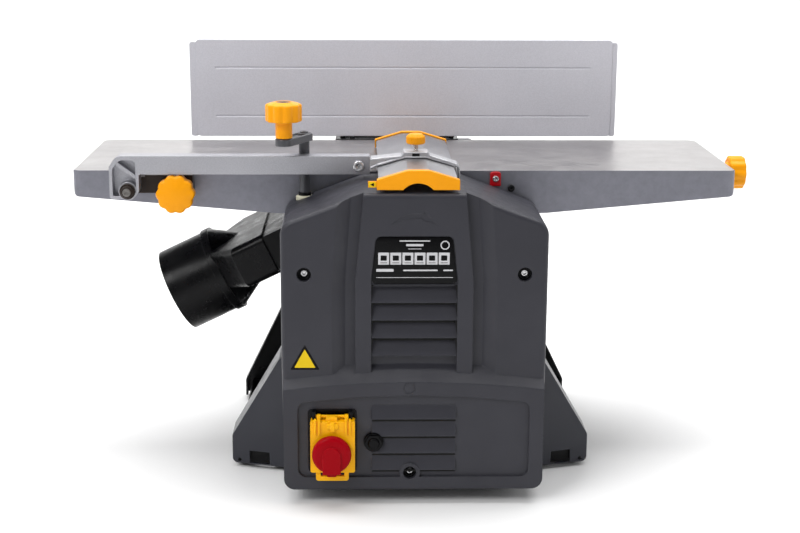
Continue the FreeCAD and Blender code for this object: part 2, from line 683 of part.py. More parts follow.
def threaded_column(x, y):
    """Lead screw with shallow thread rings and the chain wheel near its foot."""
    bar = cylinder("z", x, y, FLOOR_GAP + 2.3, COLUMN_TOP, COLUMN_RADIUS)
    wheel = sprocket(x, y, *LIFT_WHEEL_Z, LIFT_WHEEL_TEETH, LIFT_WHEEL_RADIUS, COLUMN_RADIUS - 1, "z")
    grooves = [ring("z", x, y, 28 + 4 * i, 29.2 + 4 * i, COLUMN_RADIUS + 1, COLUMN_RADIUS - 0.8)
               for i in range(53)]
    return fuse(bar, wheel).cut(grooves)


def guide_posts():
    posts = [cylinder("z", x, y, FLOOR_GAP + 2, COLUMN_TOP, COLUMN_RADIUS) for x, y in columns()[2:]]
    return group(*posts)


def roller_sprocket(x):
    return sprocket(x, ROLLER_Z, *CHAIN_PLANE, SPROCKET_TEETH, SPROCKET_RADIUS, 4.02, "y")


def feed_chain():
    """Chain that drives the left roller from the right one."""
    low, high = CHAIN_PLANE[0] + 0.5, CHAIN_PLANE[1] - 0.5
    return chain_loop(ROLLER_LEFT_X, ROLLER_Z, ROLLER_RIGHT_X, ROLLER_Z, SPROCKET_RADIUS + CLEAR, 2.5,
                      low, high, "y")


def lift_chain():
    (x0, y0), (x1, y1) = columns()[:2]
    low, high = LIFT_WHEEL_Z[0] + 0.8, LIFT_WHEEL_Z[1] - 0.8
    return chain_loop(x0, y0, x1, y1, LIFT_WHEEL_RADIUS + CLEAR, 1.6, low, high, "z")


def crank_shaft():
    x, y = columns()[0]
    upper = cylinder("z", x, y, COLUMN_TOP - 1, CRANK_TOP - 8, 5.5)
    sleeve = cylinder("z", x, y, 319.2, CRANK_TOP - 8, 5.8)
    return fuse(threaded_column(x, y), upper, sleeve)


def crank_arm():
    x, y = columns()[0]
    reach = KNOB_ARM.Length
    blade = prism(rectangle(-10, reach + 9.5, -9.5, 9.5, 9.4), "z", 0, 8)
    blade = blade.cut(prism(rectangle(6, reach - 8, -5.5, 5.5, 5.2), "z", 5.5, 9))
    turn = math.degrees(math.atan2(KNOB_ARM.y, KNOB_ARM.x))
    blade.rotate(V(0, 0, 0), V(0, 0, 1), turn)
    blade.translate(V(x, y, CRANK_TOP - 8))
    cap = placed(socket_screw(4, 2.5), V(x, y, CRANK_TOP), V(0, 0, 1))
    pin = cylinder("z", x + KNOB_ARM.x, y + KNOB_ARM.y, CRANK_TOP - 1, 418, 4)
    return fuse(blade, cap, pin)


def crank_knob():
    """Loose grip on the crank arm's pin: a lobed head on a straight collar."""
    x, y = columns()[0][0] + KNOB_ARM.x, columns()[0][1] + KNOB_ARM.y
    head = placed(lobed_knob(19.5, 21, 10, 2.6), V(x, y, 402), V(0, 0, 1))
    collar = cylinder("z", x, y, CRANK_TOP + 0.4, 403, 9)
    hollow = [cylinder("z", x, y, CRANK_TOP, 419, 4 + RUN_FIT), cylinder("z", x, y, 418.5, 424, 8)]
    return fuse(head, collar).cut(hollow)


def shaft_bushing():
    x, y = columns()[0]
    return ring("z", x, y, 306, 318.5, 9.75, 5.5 + RUN_FIT)


# ---------------------------------------------------------------- casings
def cover_outline(inset):
    """Front outline of the cover, drawn inwards by inset."""
    slope = (309.0 - COVER_TOP) / (129.0 - 53.0)
    half = COVER_HALF - inset
    top = COVER_TOP - inset
    shoulder = COVER_TOP + slope * (half - 53) - inset * 1.07
    foot = 138.5 - inset
    low = 17 + inset
    knee = 53 - 0.2 * inset
    right = [(foot, low, 12), (half, 150), (half, shoulder, 17 - inset), (knee, top, 4)]
    return right + [(-p[0],) + p[1:] for p in reversed(right)]


def arch(half, side, crown, z0, y):
    """Face with a flat foot at z0 and an arched top, at the depth y."""
    place = to_space("y", y)
    arc = Part.Arc(place(half, side), place(0, crown), place(-half, side)).toShape()
    lines = [Part.makePolygon([place(-half, side), place(-half, z0), place(half, z0), place(half, side)])]
    return Part.Wire([arc] + lines[0].Edges)


def cover_ledge():
    """Sloping band where the lower bezel stands out from the upper cover."""
    back = -212.0
    rise = LEDGE_SLOPE * (back - BEZEL_FACE)
    front_wire = arch(138.5, 128.7, 137.2, 60, BEZEL_FACE)
    back_wire = arch(138.5, 128.7 + rise, 137.2 + rise, 60, back)
    return Part.makeLoft([front_wire, back_wire], True, True)


def cover_body():
    upper = prism(cover_outline(0), "y", COVER_FACE, COVER_BACK)
    rim = [e for e in upper.Edges if all(abs(v.Point.y - COVER_FACE) < 1e-3 for v in e.Vertexes)]
    upper = upper.makeFillet(5, rim)
    bezel = prism([(-138.5, 17, 12), (138.5, 17, 12), (138.5, 100), (-138.5, 100)], "y", BEZEL_FACE, -200)
    return upper, bezel


def channel(sign):
    """Valley between the raised middle and a wing, narrowing towards the top."""
    def section(inner, floor, outer, z):
        points = [(inner, -236), (inner, -222), (floor, -222), (outer, -231), (outer, -236)]
        ring_points = [V(sign * a, b, z) for a, b in points]
        return Part.makePolygon(ring_points + ring_points[:1])

    lower = [(62, 72.6, 88.5, 100), (62, 72.6, 88.5, 243)]
    upper = [(62, 72.6, 88.5, 243), (52.5, 65, 81, 345)]
    pieces = [Part.makeLoft([section(*a), section(*b)], True, True) for a, b in (lower, upper)]
    return pieces[0].fuse(pieces[1])


def louvre_blade(top, drop, back, front):
    """Sloping blade of a louvre, its lower edge standing furthest forward."""
    side = [(back, top), (front, top - drop), (front, top - drop - 1.2), (front + 2, top - drop - 1.2),
            (back + 3, top - 3)]
    return prism(side, "x", -LOUVRE_HALF, LOUVRE_HALF)


def front_cover():
    upper, bezel = cover_body()
    body = fuse(upper, bezel)
    body = body.cut([channel(1), channel(-1)])
    middle = prism([(-45.2, 140), (45.2, 140), (45.2, 241), (-45.2, 241)], "y", -231, -222)
    plate = prism([(-46, 241.4, 2), (46, 241.4, 2), (40.5, 293, 7), (-40.5, 293, 7)], "y", -231, -228.6)
    body = body.cut([middle, plate])
    body = body.fuse(cover_ledge())
    panel_floor = BEZEL_FACE + 3.5
    panel = arch_panel(BEZEL_FACE - 1, panel_floor)
    body = body.cut(panel)
    hollow_upper = prism(cover_outline(WALL), "y", -212, COVER_BACK + 1)
    pockets = [box(-134.5, 134.5, -233, -200, 21, 125), box(-132, 132, -138, -112, 16, 21),
               prism([(-50, 246), (50, 246), (48, 332), (-48, 332)], "y", -225.5, -211),
               box(-42, 42, -218, -211, 150, 241)]
    for sign in (-1, 1):
        pockets.append(prism([(sign * 92, 150), (sign * 136.8, 150), (sign * 136.8, 290), (sign * 92, 300)],
                             "y", -225, -211))
        pockets.append(box(*sorted((sign * 48, sign * 59.5)), -227, -211, 150, 244))
    body = body.cut([hollow_upper] + pockets)
    slots = [box(-LOUVRE_HALF + 2, LOUVRE_HALF - 2, -250, -205, top - UPPER_DROP, top - 3.5)
             for top in UPPER_LOUVRES]
    slots += [box(-LOUVRE_HALF + 1, LOUVRE_HALF - 1, -250, -225, top - LOWER_DROP - 2.3, top - 2)
              for top in LOWER_LOUVRES]
    slots.append(prism(rectangle(SWITCH[0], SWITCH[1], SWITCH[2], SWITCH[3], 3), "y", -250, -225))
    slots.append(cylinder("z", -COLUMN_X, -COLUMN_Y, 290, 330, 10.05))
    body = body.cut(slots)
    blades = [louvre_blade(top, UPPER_DROP, -220.5, -229) for top in UPPER_LOUVRES]
    blades += [louvre_blade(top, LOWER_DROP, -235.5, -239.6) for top in LOWER_LOUVRES]
    posts = [cylinder("y", x, z, COVER_FACE, -STAY_REACH, 12) for x, z in UPPER_SCREWS]
    posts.append(cylinder("y", *LOWER_SCREW, BEZEL_FACE, -STAY_REACH, 11))
    body = fuse(body, *blades, *posts)
    recesses = [cylinder("y", x, z, COVER_FACE - 1, COVER_FACE + 9, 7.5) for x, z in UPPER_SCREWS]
    recesses.append(cylinder("y", *LOWER_SCREW, BEZEL_FACE - 1, BEZEL_FACE + 9, 7))
    stems = [cylinder("y", x, z, -250, -STAY_REACH + 1, 3.2) for x, z in COVER_SCREWS]
    reset_hole = cylinder("y", RESET[0], RESET[1], -250, -225, 10.3)
    return body.cut(recesses + stems + [reset_hole, direction_arrow()])


def arch_panel(y0, y1):
    """Recessed field of the lower bezel, with an arched top and rounded corners."""
    field = [(-123, 31, 9), (123, 31, 9), (123, 114.5, 9), (60, 120.5),
             (0, 122.5), (-60, 120.5), (-123, 114.5, 9)]
    return prism(field, "y", y0, y1)


def direction_arrow():
    """Shallow groove in the shape of a bent arrow that shows which way the cutterblock turns."""
    place = to_space("y", COVER_FACE - 1)
    sweep = [Part.Arc(place(-24, 306), place(-8, 315.5), place(10, 316)),
             Part.LineSegment(place(10, 316), place(10, 319)),
             Part.LineSegment(place(10, 319), place(22, 306)),
             Part.LineSegment(place(22, 306), place(8, 310)),
             Part.LineSegment(place(8, 310), place(8, 312)),
             Part.Arc(place(8, 312), place(-8, 310.5), place(-24, 306))]
    return Part.Face(Part.Wire([e.toShape() for e in sweep])).extrude(V(0, 1.5, 0))


def cover_screws():
    screws = []
    for (x, z), depth in zip(UPPER_SCREWS + (LOWER_SCREW,), (COVER_FACE, COVER_FACE, BEZEL_FACE)):
        head = placed(socket_screw(5.5, 3.5), V(x, depth + 8.9, z), V(0, -1, 0))
        stem = cylinder("y", x, z, depth + 8, -STAY_REACH + 15, 2.88)
        screws.append(fuse(head, stem))
    return group(*screws)


def rear_cover():
    outer = [(-134, 24, 10), (134, 24, 10), (134, 296, 16), (96, 318, 10), (84, 336, 8), (-66, 336, 8),
             (-96, 318, 10), (-134, 296, 16)]
    inner = [(-131.5, 26.5, 8), (131.5, 26.5, 8), (131.5, 294.5, 14), (94.5, 316, 9), (82.5, 333.5, 6),
             (-64.5, 333.5, 6), (-94.5, 316, 9), (-131.5, 294.5, 14)]
    face = 150.0
    body = prism(outer, "y", PLATE_OUT + 0.2, face)
    rim = [e for e in body.Edges if all(abs(v.Point.y - face) < 1e-3 for v in e.Vertexes)]
    body = body.makeFillet(4, rim).cut(prism(inner, "y", PLATE_OUT - 1, face - 2.5))
    levels = [60 + 14 * i for i in range(5)]
    slots = [prism(rectangle(-48, 48, low, low + 6, 2.9), "y", face - 5, face + 1) for low in levels]
    panel = prism(rectangle(-112, 112, 46, 280, 12), "y", face - 1.2, face + 1)
    body = body.cut(panel).cut(slots)
    heads = [placed(socket_screw(5, 3), V(x, face - 1.25, z), V(0, 1, 0))
             for x in (-100, 100) for z in (60, 266)]
    gland_hole = cylinder("y", GLAND[0], GLAND[1], face - 5, face + 1, 8.1)
    column_way = box(-131, 131, PLATE_OUT - 1, 130, 23, 28)
    return fuse(body, *heads).cut([gland_hole, column_way])


def front_skirt():
    """Two hollow corner pieces that carry the look of the cover down to the floor line."""
    wings = []
    for sign in (-1, 1):
        face = [(sign * 140.6, 5), (sign * 203, 5, 6), (sign * 203, 38, 7),
                (sign * 147, 134, 5), (sign * 140.6, 134)]
        block = prism(face, "y", -146, -88)
        bow = [(sign * 139, -148), (sign * 141, -146), (sign * 165, -139, 20),
               (sign * 204, -128), (sign * 204, -150),
               (sign * 139, -150)]
        block = block.cut(prism(bow, "z", 0, 140))
        inside = [(sign * 139, 4), (sign * 200.5, 4), (sign * 200.5, 37.3, 5),
                  (sign * 145.2, 131.6), (sign * 139, 131.6)]
        bow_inside = [(sign * 139, -143.4), (sign * 141, -143.2), (sign * 165, -136.2, 20),
                      (sign * 201, -125.6),
                      (sign * 201, -80), (sign * 139, -80)]
        hollow = prism(inside, "y", -150, -86).common(prism(bow_inside, "z", 0, 140))
        window = box(*sorted((sign * 160, sign * 183)), -150, -120, 6, 21)
        rest = box(*sorted((sign * 140, sign * 202)), -125.4, -86, 2, 20.4)
        wing = block.cut([hollow, window, rest])
        screw_hole = cylinder("y", sign * 195, 9, -150, -120, 2.2)
        wings.append(wing.cut(screw_hole))
    return group(*wings)


def rear_skirt():
    """Two black corner plates with folded edges, one each side of the rear cover."""
    sides = []
    for sign in (-1, 1):
        plate = [(sign * 134.6, 4), (sign * 206, 4, 3), (sign * 206, 25, 3),
                 (sign * 141, 158, 3), (sign * 134.6, 158)]
        fold = [(sign * 206, 25), (sign * 203.2, 25), (sign * 138.5, 157.4), (sign * 141, 158)]
        foot = box(*sorted((sign * 203.5, sign * 206)), 112, 130, 4, 25)
        sides.append(fuse(prism(plate, "y", 127.8, 130.3), prism(fold, "y", 112, 130), foot))
    return group(*sides)


def cable_gland():
    """Entry for the mains lead: a flanged bush with a nut inside the cover."""
    x, z = GLAND
    profile = [(3.6, 0), (11, 0, 1), (10, 5, 1.5), (7, 13, 1), (3.6, 13)]
    flange = placed(revolved(profile), V(x, 150.1, z), V(0, 1, 0))
    neck = ring("y", x, z, 142, 151, 8, 3.6)
    nut = ring("y", x, z, 142, 146.5, 11.5, 7.5)
    return fuse(flange, neck, nut)


# ---------------------------------------------------------------- switch
def switch_box():
    x0, x1, z0, z1 = SWITCH
    body = prism(rectangle(x0 + 0.3, x1 - 0.3, z0 + 0.3, z1 - 0.3, 2.7), "y", -236.5, -196)
    pocket = prism(rectangle(x0 + 4, x1 - 4, z0 + 4, z1 - 4, 2), "y", -240, -230)
    body = body.cut(pocket)
    lugs = [box(x, x + 4, -246, -229, 99, z1 - 0.5) for x in (x0 + 4.2, x1 - 8.2)]
    lugs = [lug.cut(cylinder("x", FLAP_HINGE_Y, FLAP_HINGE_Z, x0, x1, 1.55)) for lug in lugs]
    base = box(x0 + 3, x1 - 3, -231, -229, z0 + 3, z1 - 3)
    hole = cylinder("y", STOP[0] + 10, 80, -232, -208, 6.3)
    stop_hole = cylinder("y", STOP[0], 56, -232, -215, 7.3)
    return fuse(body, base, *lugs).cut([hole, stop_hole])


def start_button():
    x = STOP[0] + 10
    return fuse(cylinder("y", x, 80, -234, -217, 6), cylinder("y", x, 80, -218, -216, 6.2))


def switch_flap():
    x0, x1 = -109.6, -62.5
    shell = prism(rectangle(x0, x1, 41, 98, 2), "y", -252, -238)
    shell = shell.cut(prism(rectangle(x0 + 2.5, x1 - 2.5, 43.5, 95.5, 1), "y", -249.5, -237))
    tab = prism([(-104, 42), (-104, 31, 3), (-69, 31, 3), (-69, 42),
                 (-74, 42), (-74, 36), (-99, 36), (-99, 42)],
                "y", -250, -246)
    ears = []
    for low in (x0 + 6.9, x1 - 10.9):
        ear = prism([(-252, 95), (-241, 95), (-241, 103.5, 2), (-247, 103.5, 2)], "x", low, low + 4)
        ears.append(ear.cut(cylinder("x", FLAP_HINGE_Y, FLAP_HINGE_Z, low - 1, low + 5, 1.5)))
    catch = prism(rectangle(-93, -81, 97, 103, 1.5), "y", -250, -246)
    pin = cylinder("x", FLAP_HINGE_Y, FLAP_HINGE_Z, SWITCH[0] + 4.4, SWITCH[1] - 4.4, 1.5)
    hole = cylinder("y", *STOP, -256, -236, 9.3)
    return fuse(shell, tab, catch, pin, *ears).cut(hole)


def stop_button():
    """Red mushroom head with a raised tongue, on a stem through the flap."""
    head = revolved([(0, 0), (20.7, 0, 1.5), (20.7, 5.5, 3), (14, 8.5, 8), (0, 9)])
    head = placed(head, V(STOP[0], -256, STOP[1]), V(0, -1, 0))
    tongue = prism(rectangle(STOP[0] - 10, STOP[0] + 10, 43.2, 73, 6), "y", -266.2, -259)
    stem = cylinder("y", *STOP, -257, -240, 9)
    return fuse(head, tongue, stem)


def reset_button():
    x, z = RESET
    button = revolved([(0, 0), (6, 0), (6, 9, 2), (0, 9)])
    return placed(button, V(x, -237.0, z), V(0, -1, 0))


def reset_socket():
    """Threaded collar and hexagon nut that hold the overload reset button."""
    x, z = RESET
    corners = [(x + 9.6 * math.cos(k * math.pi / 3), z + 9.6 * math.sin(k * math.pi / 3)) for k in range(6)]
    collar = cylinder("y", x, z, -241, -222, 10)
    nut = prism(corners, "y", -243.5, -240)
    return fuse(collar, nut).cut(cylinder("y", x, z, -250, -230, 6.2))


# ---------------------------------------------------------------- cutter guard
def guard_section(half, side, peak, low, flat=11.0):
    """Gable section of the guard, centred over the cutterblock."""
    return [(GUARD_X - half, low), (GUARD_X + half, low),
            (GUARD_X + half, side, 1), (GUARD_X + flat, peak, 3),
            (GUARD_X - flat, peak, 3), (GUARD_X - half, side, 1)]


def guard_plate():
    outer = prism(guard_section(41.5, 350.3, 359.6, 346), "y", GUARD_FRONT + 3, GUARD_REAR - 3)
    inner = [(GUARD_X - 45, 340), (GUARD_X + 45, 340), (GUARD_X + 45, 347.6), (GUARD_X + 10.5, 357),
             (GUARD_X - 10.5, 357), (GUARD_X - 45, 347.6)]
    return outer.cut(prism(inner, "y", GUARD_FRONT, GUARD_REAR))


def guard_caps():
    front = prism(guard_section(43, 351.3, 361, 341), "y", GUARD_FRONT, GUARD_FRONT + 9)
    notch = cylinder("y", GUARD_X, 327, GUARD_FRONT - 1, GUARD_FRONT + 10, 21)
    rear = prism(guard_section(43, 351.3, 361, 341.5), "y", GUARD_REAR - 8, GUARD_REAR)
    front_pocket = prism(guard_section(41.7, 350.5, 359.8, 339), "y", GUARD_FRONT + 2.9, GUARD_FRONT + 10)
    rear_pocket = prism(guard_section(41.7, 350.5, 359.8, 339), "y", GUARD_REAR - 9, GUARD_REAR - 2.9)
    tag = box(-48.5, GUARD_X - 42.8, GUARD_FRONT + 3, GUARD_FRONT + 5.5, 343, 349.5)
    return group(fuse(front.cut([notch, front_pocket]), tag), rear.cut(rear_pocket))


def guard_saddle():
    """Bridge on the arm's end that carries the guard plate and clamps it from above."""
    upper = [(-46, 359.5, 1), (-12, 362.8, 1), (-9.5, 367), (16.5, 367), (19, 363.2, 1), (48, 354.2, 1),
             (51.5, 349.5, 1), (51.5, 338.5)]
    lower = [(46.5, 338.5), (46.5, 351.2),
             (GUARD_X + 11.5, 360.3, 2), (GUARD_X - 11.5, 360.3, 2), (-39.5, 351.6),
             (-39.5, 345), (-46, 345)]
    bridge = prism(upper + lower, "y", -143, -125)
    slot = prism([(-35, 354.2, 0.6), (-14, 359.8, 0.6), (-26, 359.4, 0.6)], "y", -144, -124)
    hole = cylinder("z", GUARD_X, -134, 355, 370, 3.05)
    nut = box(GUARD_X - 4, GUARD_X + 4, -142.5, -136.6, 362, 365.5)
    return bridge.cut([slot, hole, nut])


def guard_knob():
    grip = placed(lobed_knob(10.5, 14, 14, 0.8), V(GUARD_X, -134, 372), V(0, 0, 1))
    return fuse(grip, cylinder("z", GUARD_X, -134, 359.9, 373, 3))


def guard_arm():
    back, front = -125.0, -143.0
    beam = [(-290, 342), (-46.3, 342), (-46.3, 362, 1.5), (-320, 362, 10), (-328, 350, 6), (-328, 315, 3),
            (-296, 315, 12), (-296, 342, 2)]
    knuckle = prism(beam, "y", front, back)
    pocket = prism([(-324.5, 318, 2), (-299.5, 318, 2), (-299.5, 357.5, 4),
                    (-316, 357.5, 8), (-324.5, 348, 5)],
                   "y", front - 1, back - 5)
    rib = prism([(-323.5, 353), (-320.5, 356), (-299, 340), (-299, 335)], "y", front + 3, back - 4)
    boss = cylinder("y", ARM_PIVOT.x, ARM_PIVOT.z, front, back, 10)
    arm = fuse(knuckle.cut(pocket), rib, boss)
    bore = cylinder("y", ARM_PIVOT.x, ARM_PIVOT.z, front - 1, back + 1, 5 + RUN_FIT)
    screw = placed(socket_screw(6, 4), V(-58.5, front, 351.5), V(0, -1, 0))
    return fuse(arm.cut(bore), screw)


def arm_bracket():
    """Block on the table's side: the arm's pivot stands on it and its clamp bolt goes through it."""
    block = prism([(-326, 318, 2), (-240, 318, 2), (-240, 338, 2),
                   (-292, 338), (-292, 336), (-326, 336, 4)], "y",
                  -124.6, -TABLE_HALF_WIDTH)
    pivot = cylinder("y", ARM_PIVOT.x, ARM_PIVOT.z, -144.5, -120, 5)
    washer = cylinder("y", ARM_PIVOT.x, ARM_PIVOT.z, -146.3, -143.3, 8.5)
    head = placed(socket_screw(6.5, 5), V(ARM_PIVOT.x, -146.3, ARM_PIVOT.z), V(0, -1, 0))
    return fuse(block, pivot, washer, head).cut(cylinder("y", *LOCK, -130, -109, 4 + RUN_FIT))


def arm_lock_knob():
    grip = placed(lobed_knob(21, 18, 10, 3.0), V(LOCK[0], -133, LOCK[1]), V(0, -1, 0))
    collar = cylinder("y", *LOCK, -134, -125, 9)
    return fuse(grip, collar, cylinder("y", *LOCK, -126, -112, 4))


# ---------------------------------------------------------------- fence
def fence_base():
    """Deck that stands on the rear side plate, over the rear cover, with two guide ribs for the slide."""
    deck = box(-88, 65, 108.6, 206, 336.5, DECK_TOP - 0.2)
    foot = box(-50, 50, 108.6, 112.4, 333, 338)
    ribs = [box(x - 3, x + 3, 112, 205, 340, DECK_TOP + 2.2) for x in GUIDES]
    bolts = [placed(socket_screw(4, 2), V(x, y, 338.5), V(0, 0, 1)) for x in (-30, 10) for y in (114, 192)]
    wells = [cylinder("z", x, y, 338.4, 345, 5) for x in (-30, 10) for y in (114, 192)]
    return fuse(fuse(deck, foot, *ribs).cut(wells), *bolts)


def hinge_point(radius, angle):
    """Point (y, z) at a distance and angle from the fence's hinge."""
    return (FENCE_HINGE.y + radius * math.cos(angle), FENCE_HINGE.z + radius * math.sin(angle))


def hinge_sector(inner, outer, start, end, low, high):
    """Part of a flat ring about the fence's hinge, between two angles in degrees."""
    place = to_space("x", low)
    angles = [math.radians(a) for a in (start, (start + end) / 2, end)]
    arcs = []
    for radius in (outer, inner):
        arcs.append([place(*hinge_point(radius, a)) for a in angles])
    edges = [Part.Arc(*arcs[0]), Part.LineSegment(arcs[0][2], arcs[1][2]),
             Part.Arc(*reversed(arcs[1])), Part.LineSegment(arcs[1][0], arcs[0][0])]
    return Part.Face(Part.Wire([e.toShape() for e in edges])).extrude(V(high - low, 0, 0))


def fence_slide():
    """Plate on the guide ribs behind the fence, with the hinge ears and the clamp's post."""
    plate = prism(rectangle(-82, 60, 130, 206, 5), "z", DECK_TOP + 0.1, DECK_TOP + 5)
    ways = [box(x - 3.3, x + 3.3, 100, 215, 340, DECK_TOP + 2.5) for x in GUIDES]
    ears = []
    for low in (-82, 54):
        ear = box(low, low + 6, 118, 131, DECK_TOP + 0.1, FENCE_HINGE.z)
        ears.append(fuse(ear, cylinder("x", FENCE_HINGE.y, FENCE_HINGE.z, low, low + 6, 6)))
    y, z = hinge_point(TILT_RADIUS, TILT_CLAMP)
    post = fuse(box(-25, -19.7, y - 5.8, y + 5.8, DECK_TOP + 4, z), cylinder("x", y, z, -25, -19.7, 5.8))
    slide = fuse(plate.cut(ways), *ears, post)
    return slide.cut([cylinder("x", FENCE_HINGE.y, FENCE_HINGE.z, -90, 70, 2.5 + RUN_FIT),
                      cylinder("x", y, z, -30, -15, 2.5 + RUN_FIT)])


def fence_plate():
    x0, x1 = -267.5, 262.0
    top = 463.0
    sheet = prism(rectangle(-260, 256, 343.5, top, 5), "y", FENCE_FACE, FENCE_FACE + 2.5)
    flange = box(-256, 252, FENCE_FACE, FENCE_FACE + 17, top - 2.5, top)
    ends = []
    for low, high in ((x0, -258), (254, x1)):
        ends.append(prism(rectangle(low, high, 343.5, top - 3, 3), "y", FENCE_FACE + 1, FENCE_FACE + 3))
        edge = low if low < 0 else high - 2
        ends.append(box(edge, edge + 2, FENCE_FACE + 1, FENCE_FACE + 14, 347, top - 7))
    fence = fuse(sheet, flange, *ends)
    grooves = []
    for z in (369, 429):
        profile = [(FENCE_FACE - 1, z - 3), (FENCE_FACE + 1.1, z), (FENCE_FACE - 1, z + 1.5)]
        grooves.append(prism(profile, "x", -236, 229))
    fence = fence.cut(grooves)
    barrel = cylinder("x", FENCE_HINGE.y, FENCE_HINGE.z, -75.5, 53.5, 4.2)
    web = box(-75.5, 53.5, 117, FENCE_HINGE.y, FENCE_HINGE.z - 3.5, FENCE_HINGE.z + 3)
    pin = cylinder("x", FENCE_HINGE.y, FENCE_HINGE.z, -82, 60, 2.5)
    sector = hinge_sector(TILT_RADIUS - 6, TILT_RADIUS + 6, 37.5, 102, -19.4, -15)
    root = box(-19.4, -15, 117, FENCE_HINGE.y, FENCE_HINGE.z + 20, FENCE_HINGE.z + 36)
    slot = hinge_sector(TILT_RADIUS - 2.6, TILT_RADIUS + 2.6, 39.5, 96.5, -25, -10)
    return fuse(fence, barrel, web, pin, fuse(sector, root).cut(slot))


def fence_lever():
    """Clamp lever of the fence's tilt: a bolt through post and sector with a cranked arm."""
    y, z = hinge_point(TILT_RADIUS, TILT_CLAMP)
    end = V(0, y + 46 * math.cos(LEVER_DROP), z + 46 * math.sin(LEVER_DROP))
    along = V(0, math.cos(LEVER_DROP), math.sin(LEVER_DROP))
    arm = Part.makeCone(3.6, 4.8, 46, V(-10, y, z), along)
    ball = Part.makeSphere(6.2, V(-10, end.y, end.z))
    return fuse(cylinder("x", y, z, -14.7, -5, 5.9), cylinder("x", y, z, -28, -14, 2.5),
                cylinder("x", y, z, -31, -25.3, 5), arm, ball)


# ---------------------------------------------------------------- dust chute
def chute_point(along, side, height):
    """Point given along the port's axis from the round stub's root, sideways, and square above the axis."""
    return PORT_START + OUT * along + V(0, side, 0) + UPWARD * height


def duct_side(extra):
    """Side outline of the hood and its sloping duct, drawn outwards by extra."""
    low, high = 231.6, 283.0
    top = DUCT_HIGH - CHUTE_WALL - 0.1 + extra
    bottom = -13.2 - extra
    bend = (PORT_START.z + UPWARD.z * top - high - extra) / OUT.z * -1
    corner = chute_point(bend, 0, top)
    far_top = chute_point(ADAPTER_START + 20, 0, top)
    far_low = chute_point(ADAPTER_START + 20, 0, bottom)
    return [(70 + extra, low - extra), (70 + extra, high + extra), (corner.x, high + extra, 10),
            (far_top.x, far_top.z), (far_low.x, far_low.z), (-130, low - extra, 12)]


def past(along):
    """Large block that covers everything beyond a plane square to the port's axis."""
    return placed(Part.makeBox(240, 240, 120, V(-120, -120, 0)), PORT_START + OUT * along, OUT)


def dust_hood():
    """Black hood that lies on the bed under the cutterblock, with a duct out to the left."""
    outer = prism(duct_side(0), "y", -CHUTE_HALF, CHUTE_HALF)
    inner = prism(duct_side(-CHUTE_WALL), "y", -CHUTE_HALF + CHUTE_WALL, CHUTE_HALF - CHUTE_WALL)
    hood = outer.cut(inner).cut(past(ADAPTER_START + ADAPTER_LAP))
    window = box(-26, 58, -CHUTE_HALF + 6, CHUTE_HALF - 6, 275, 290)
    cross = [box(x, x + 2, -CHUTE_HALF + 1, CHUTE_HALF - 1, 268, 281) for x in (-108, -92)]
    return fuse(hood.cut(window), *cross)


def adapter_body(shrink, reach):
    """Narrowing flat duct, cone and round stub, drawn inwards by shrink and longer by reach."""
    low, high = DUCT_LOW + shrink, DUCT_HIGH - shrink
    half, throat = DUCT_HALF - shrink, DUCT_THROAT - shrink
    plan = [(ADAPTER_START - reach, -half), (SHOULDER, -half), (SHOULDER_END, -throat),
            (SHOULDER_END, throat), (SHOULDER, half), (ADAPTER_START - reach, half)]
    corners = [chute_point(along, side, low) for along, side in plan]
    duct = Part.Face(Part.makePolygon(corners + corners[:1])).extrude(UPWARD * (high - low))
    long_edges = []
    for edge in duct.Edges:
        first, last = [v.Point for v in edge.Vertexes]
        level = abs((last - first).dot(UPWARD)) < 0.01
        if level and abs((last - first).dot(OUT)) > 1:
            long_edges.append(edge)
    duct = duct.makeFillet(8 - shrink, long_edges)
    radius = PORT_RADIUS if shrink == 0 else PORT_BORE
    cone = Part.makeCone(radius, radius - 20.5, 34, PORT_START, OUT * -1)
    stub = Part.makeCylinder(radius, PORT_LENGTH + reach, PORT_START, OUT)
    if shrink:
        return fuse(duct, cone, stub)
    return fuse(duct, cone, stub, Part.makeCylinder(STOP_RING_RADIUS, STOP_RING_LENGTH, PORT_START, OUT))


def hose_adapter():
    """Outlet that changes the flat duct into a round port for a 100 mm hose."""
    shell = adapter_body(0, 0).cut(adapter_body(CHUTE_WALL, 1))
    lip = Part.Face(Part.makePolygon([chute_point(ADAPTER_START, side, height) for side, height in
                    [(-89, -17), (89, -17), (89, 31), (-89, 31), (-89, -17)]])).extrude(OUT * 3)
    duct = prism(duct_side(0.04), "y", -CHUTE_HALF - 0.04, CHUTE_HALF + 0.04)
    keep = adapter_body(0.5, 2)
    return fuse(shell, lip.common(keep)).cut(duct)


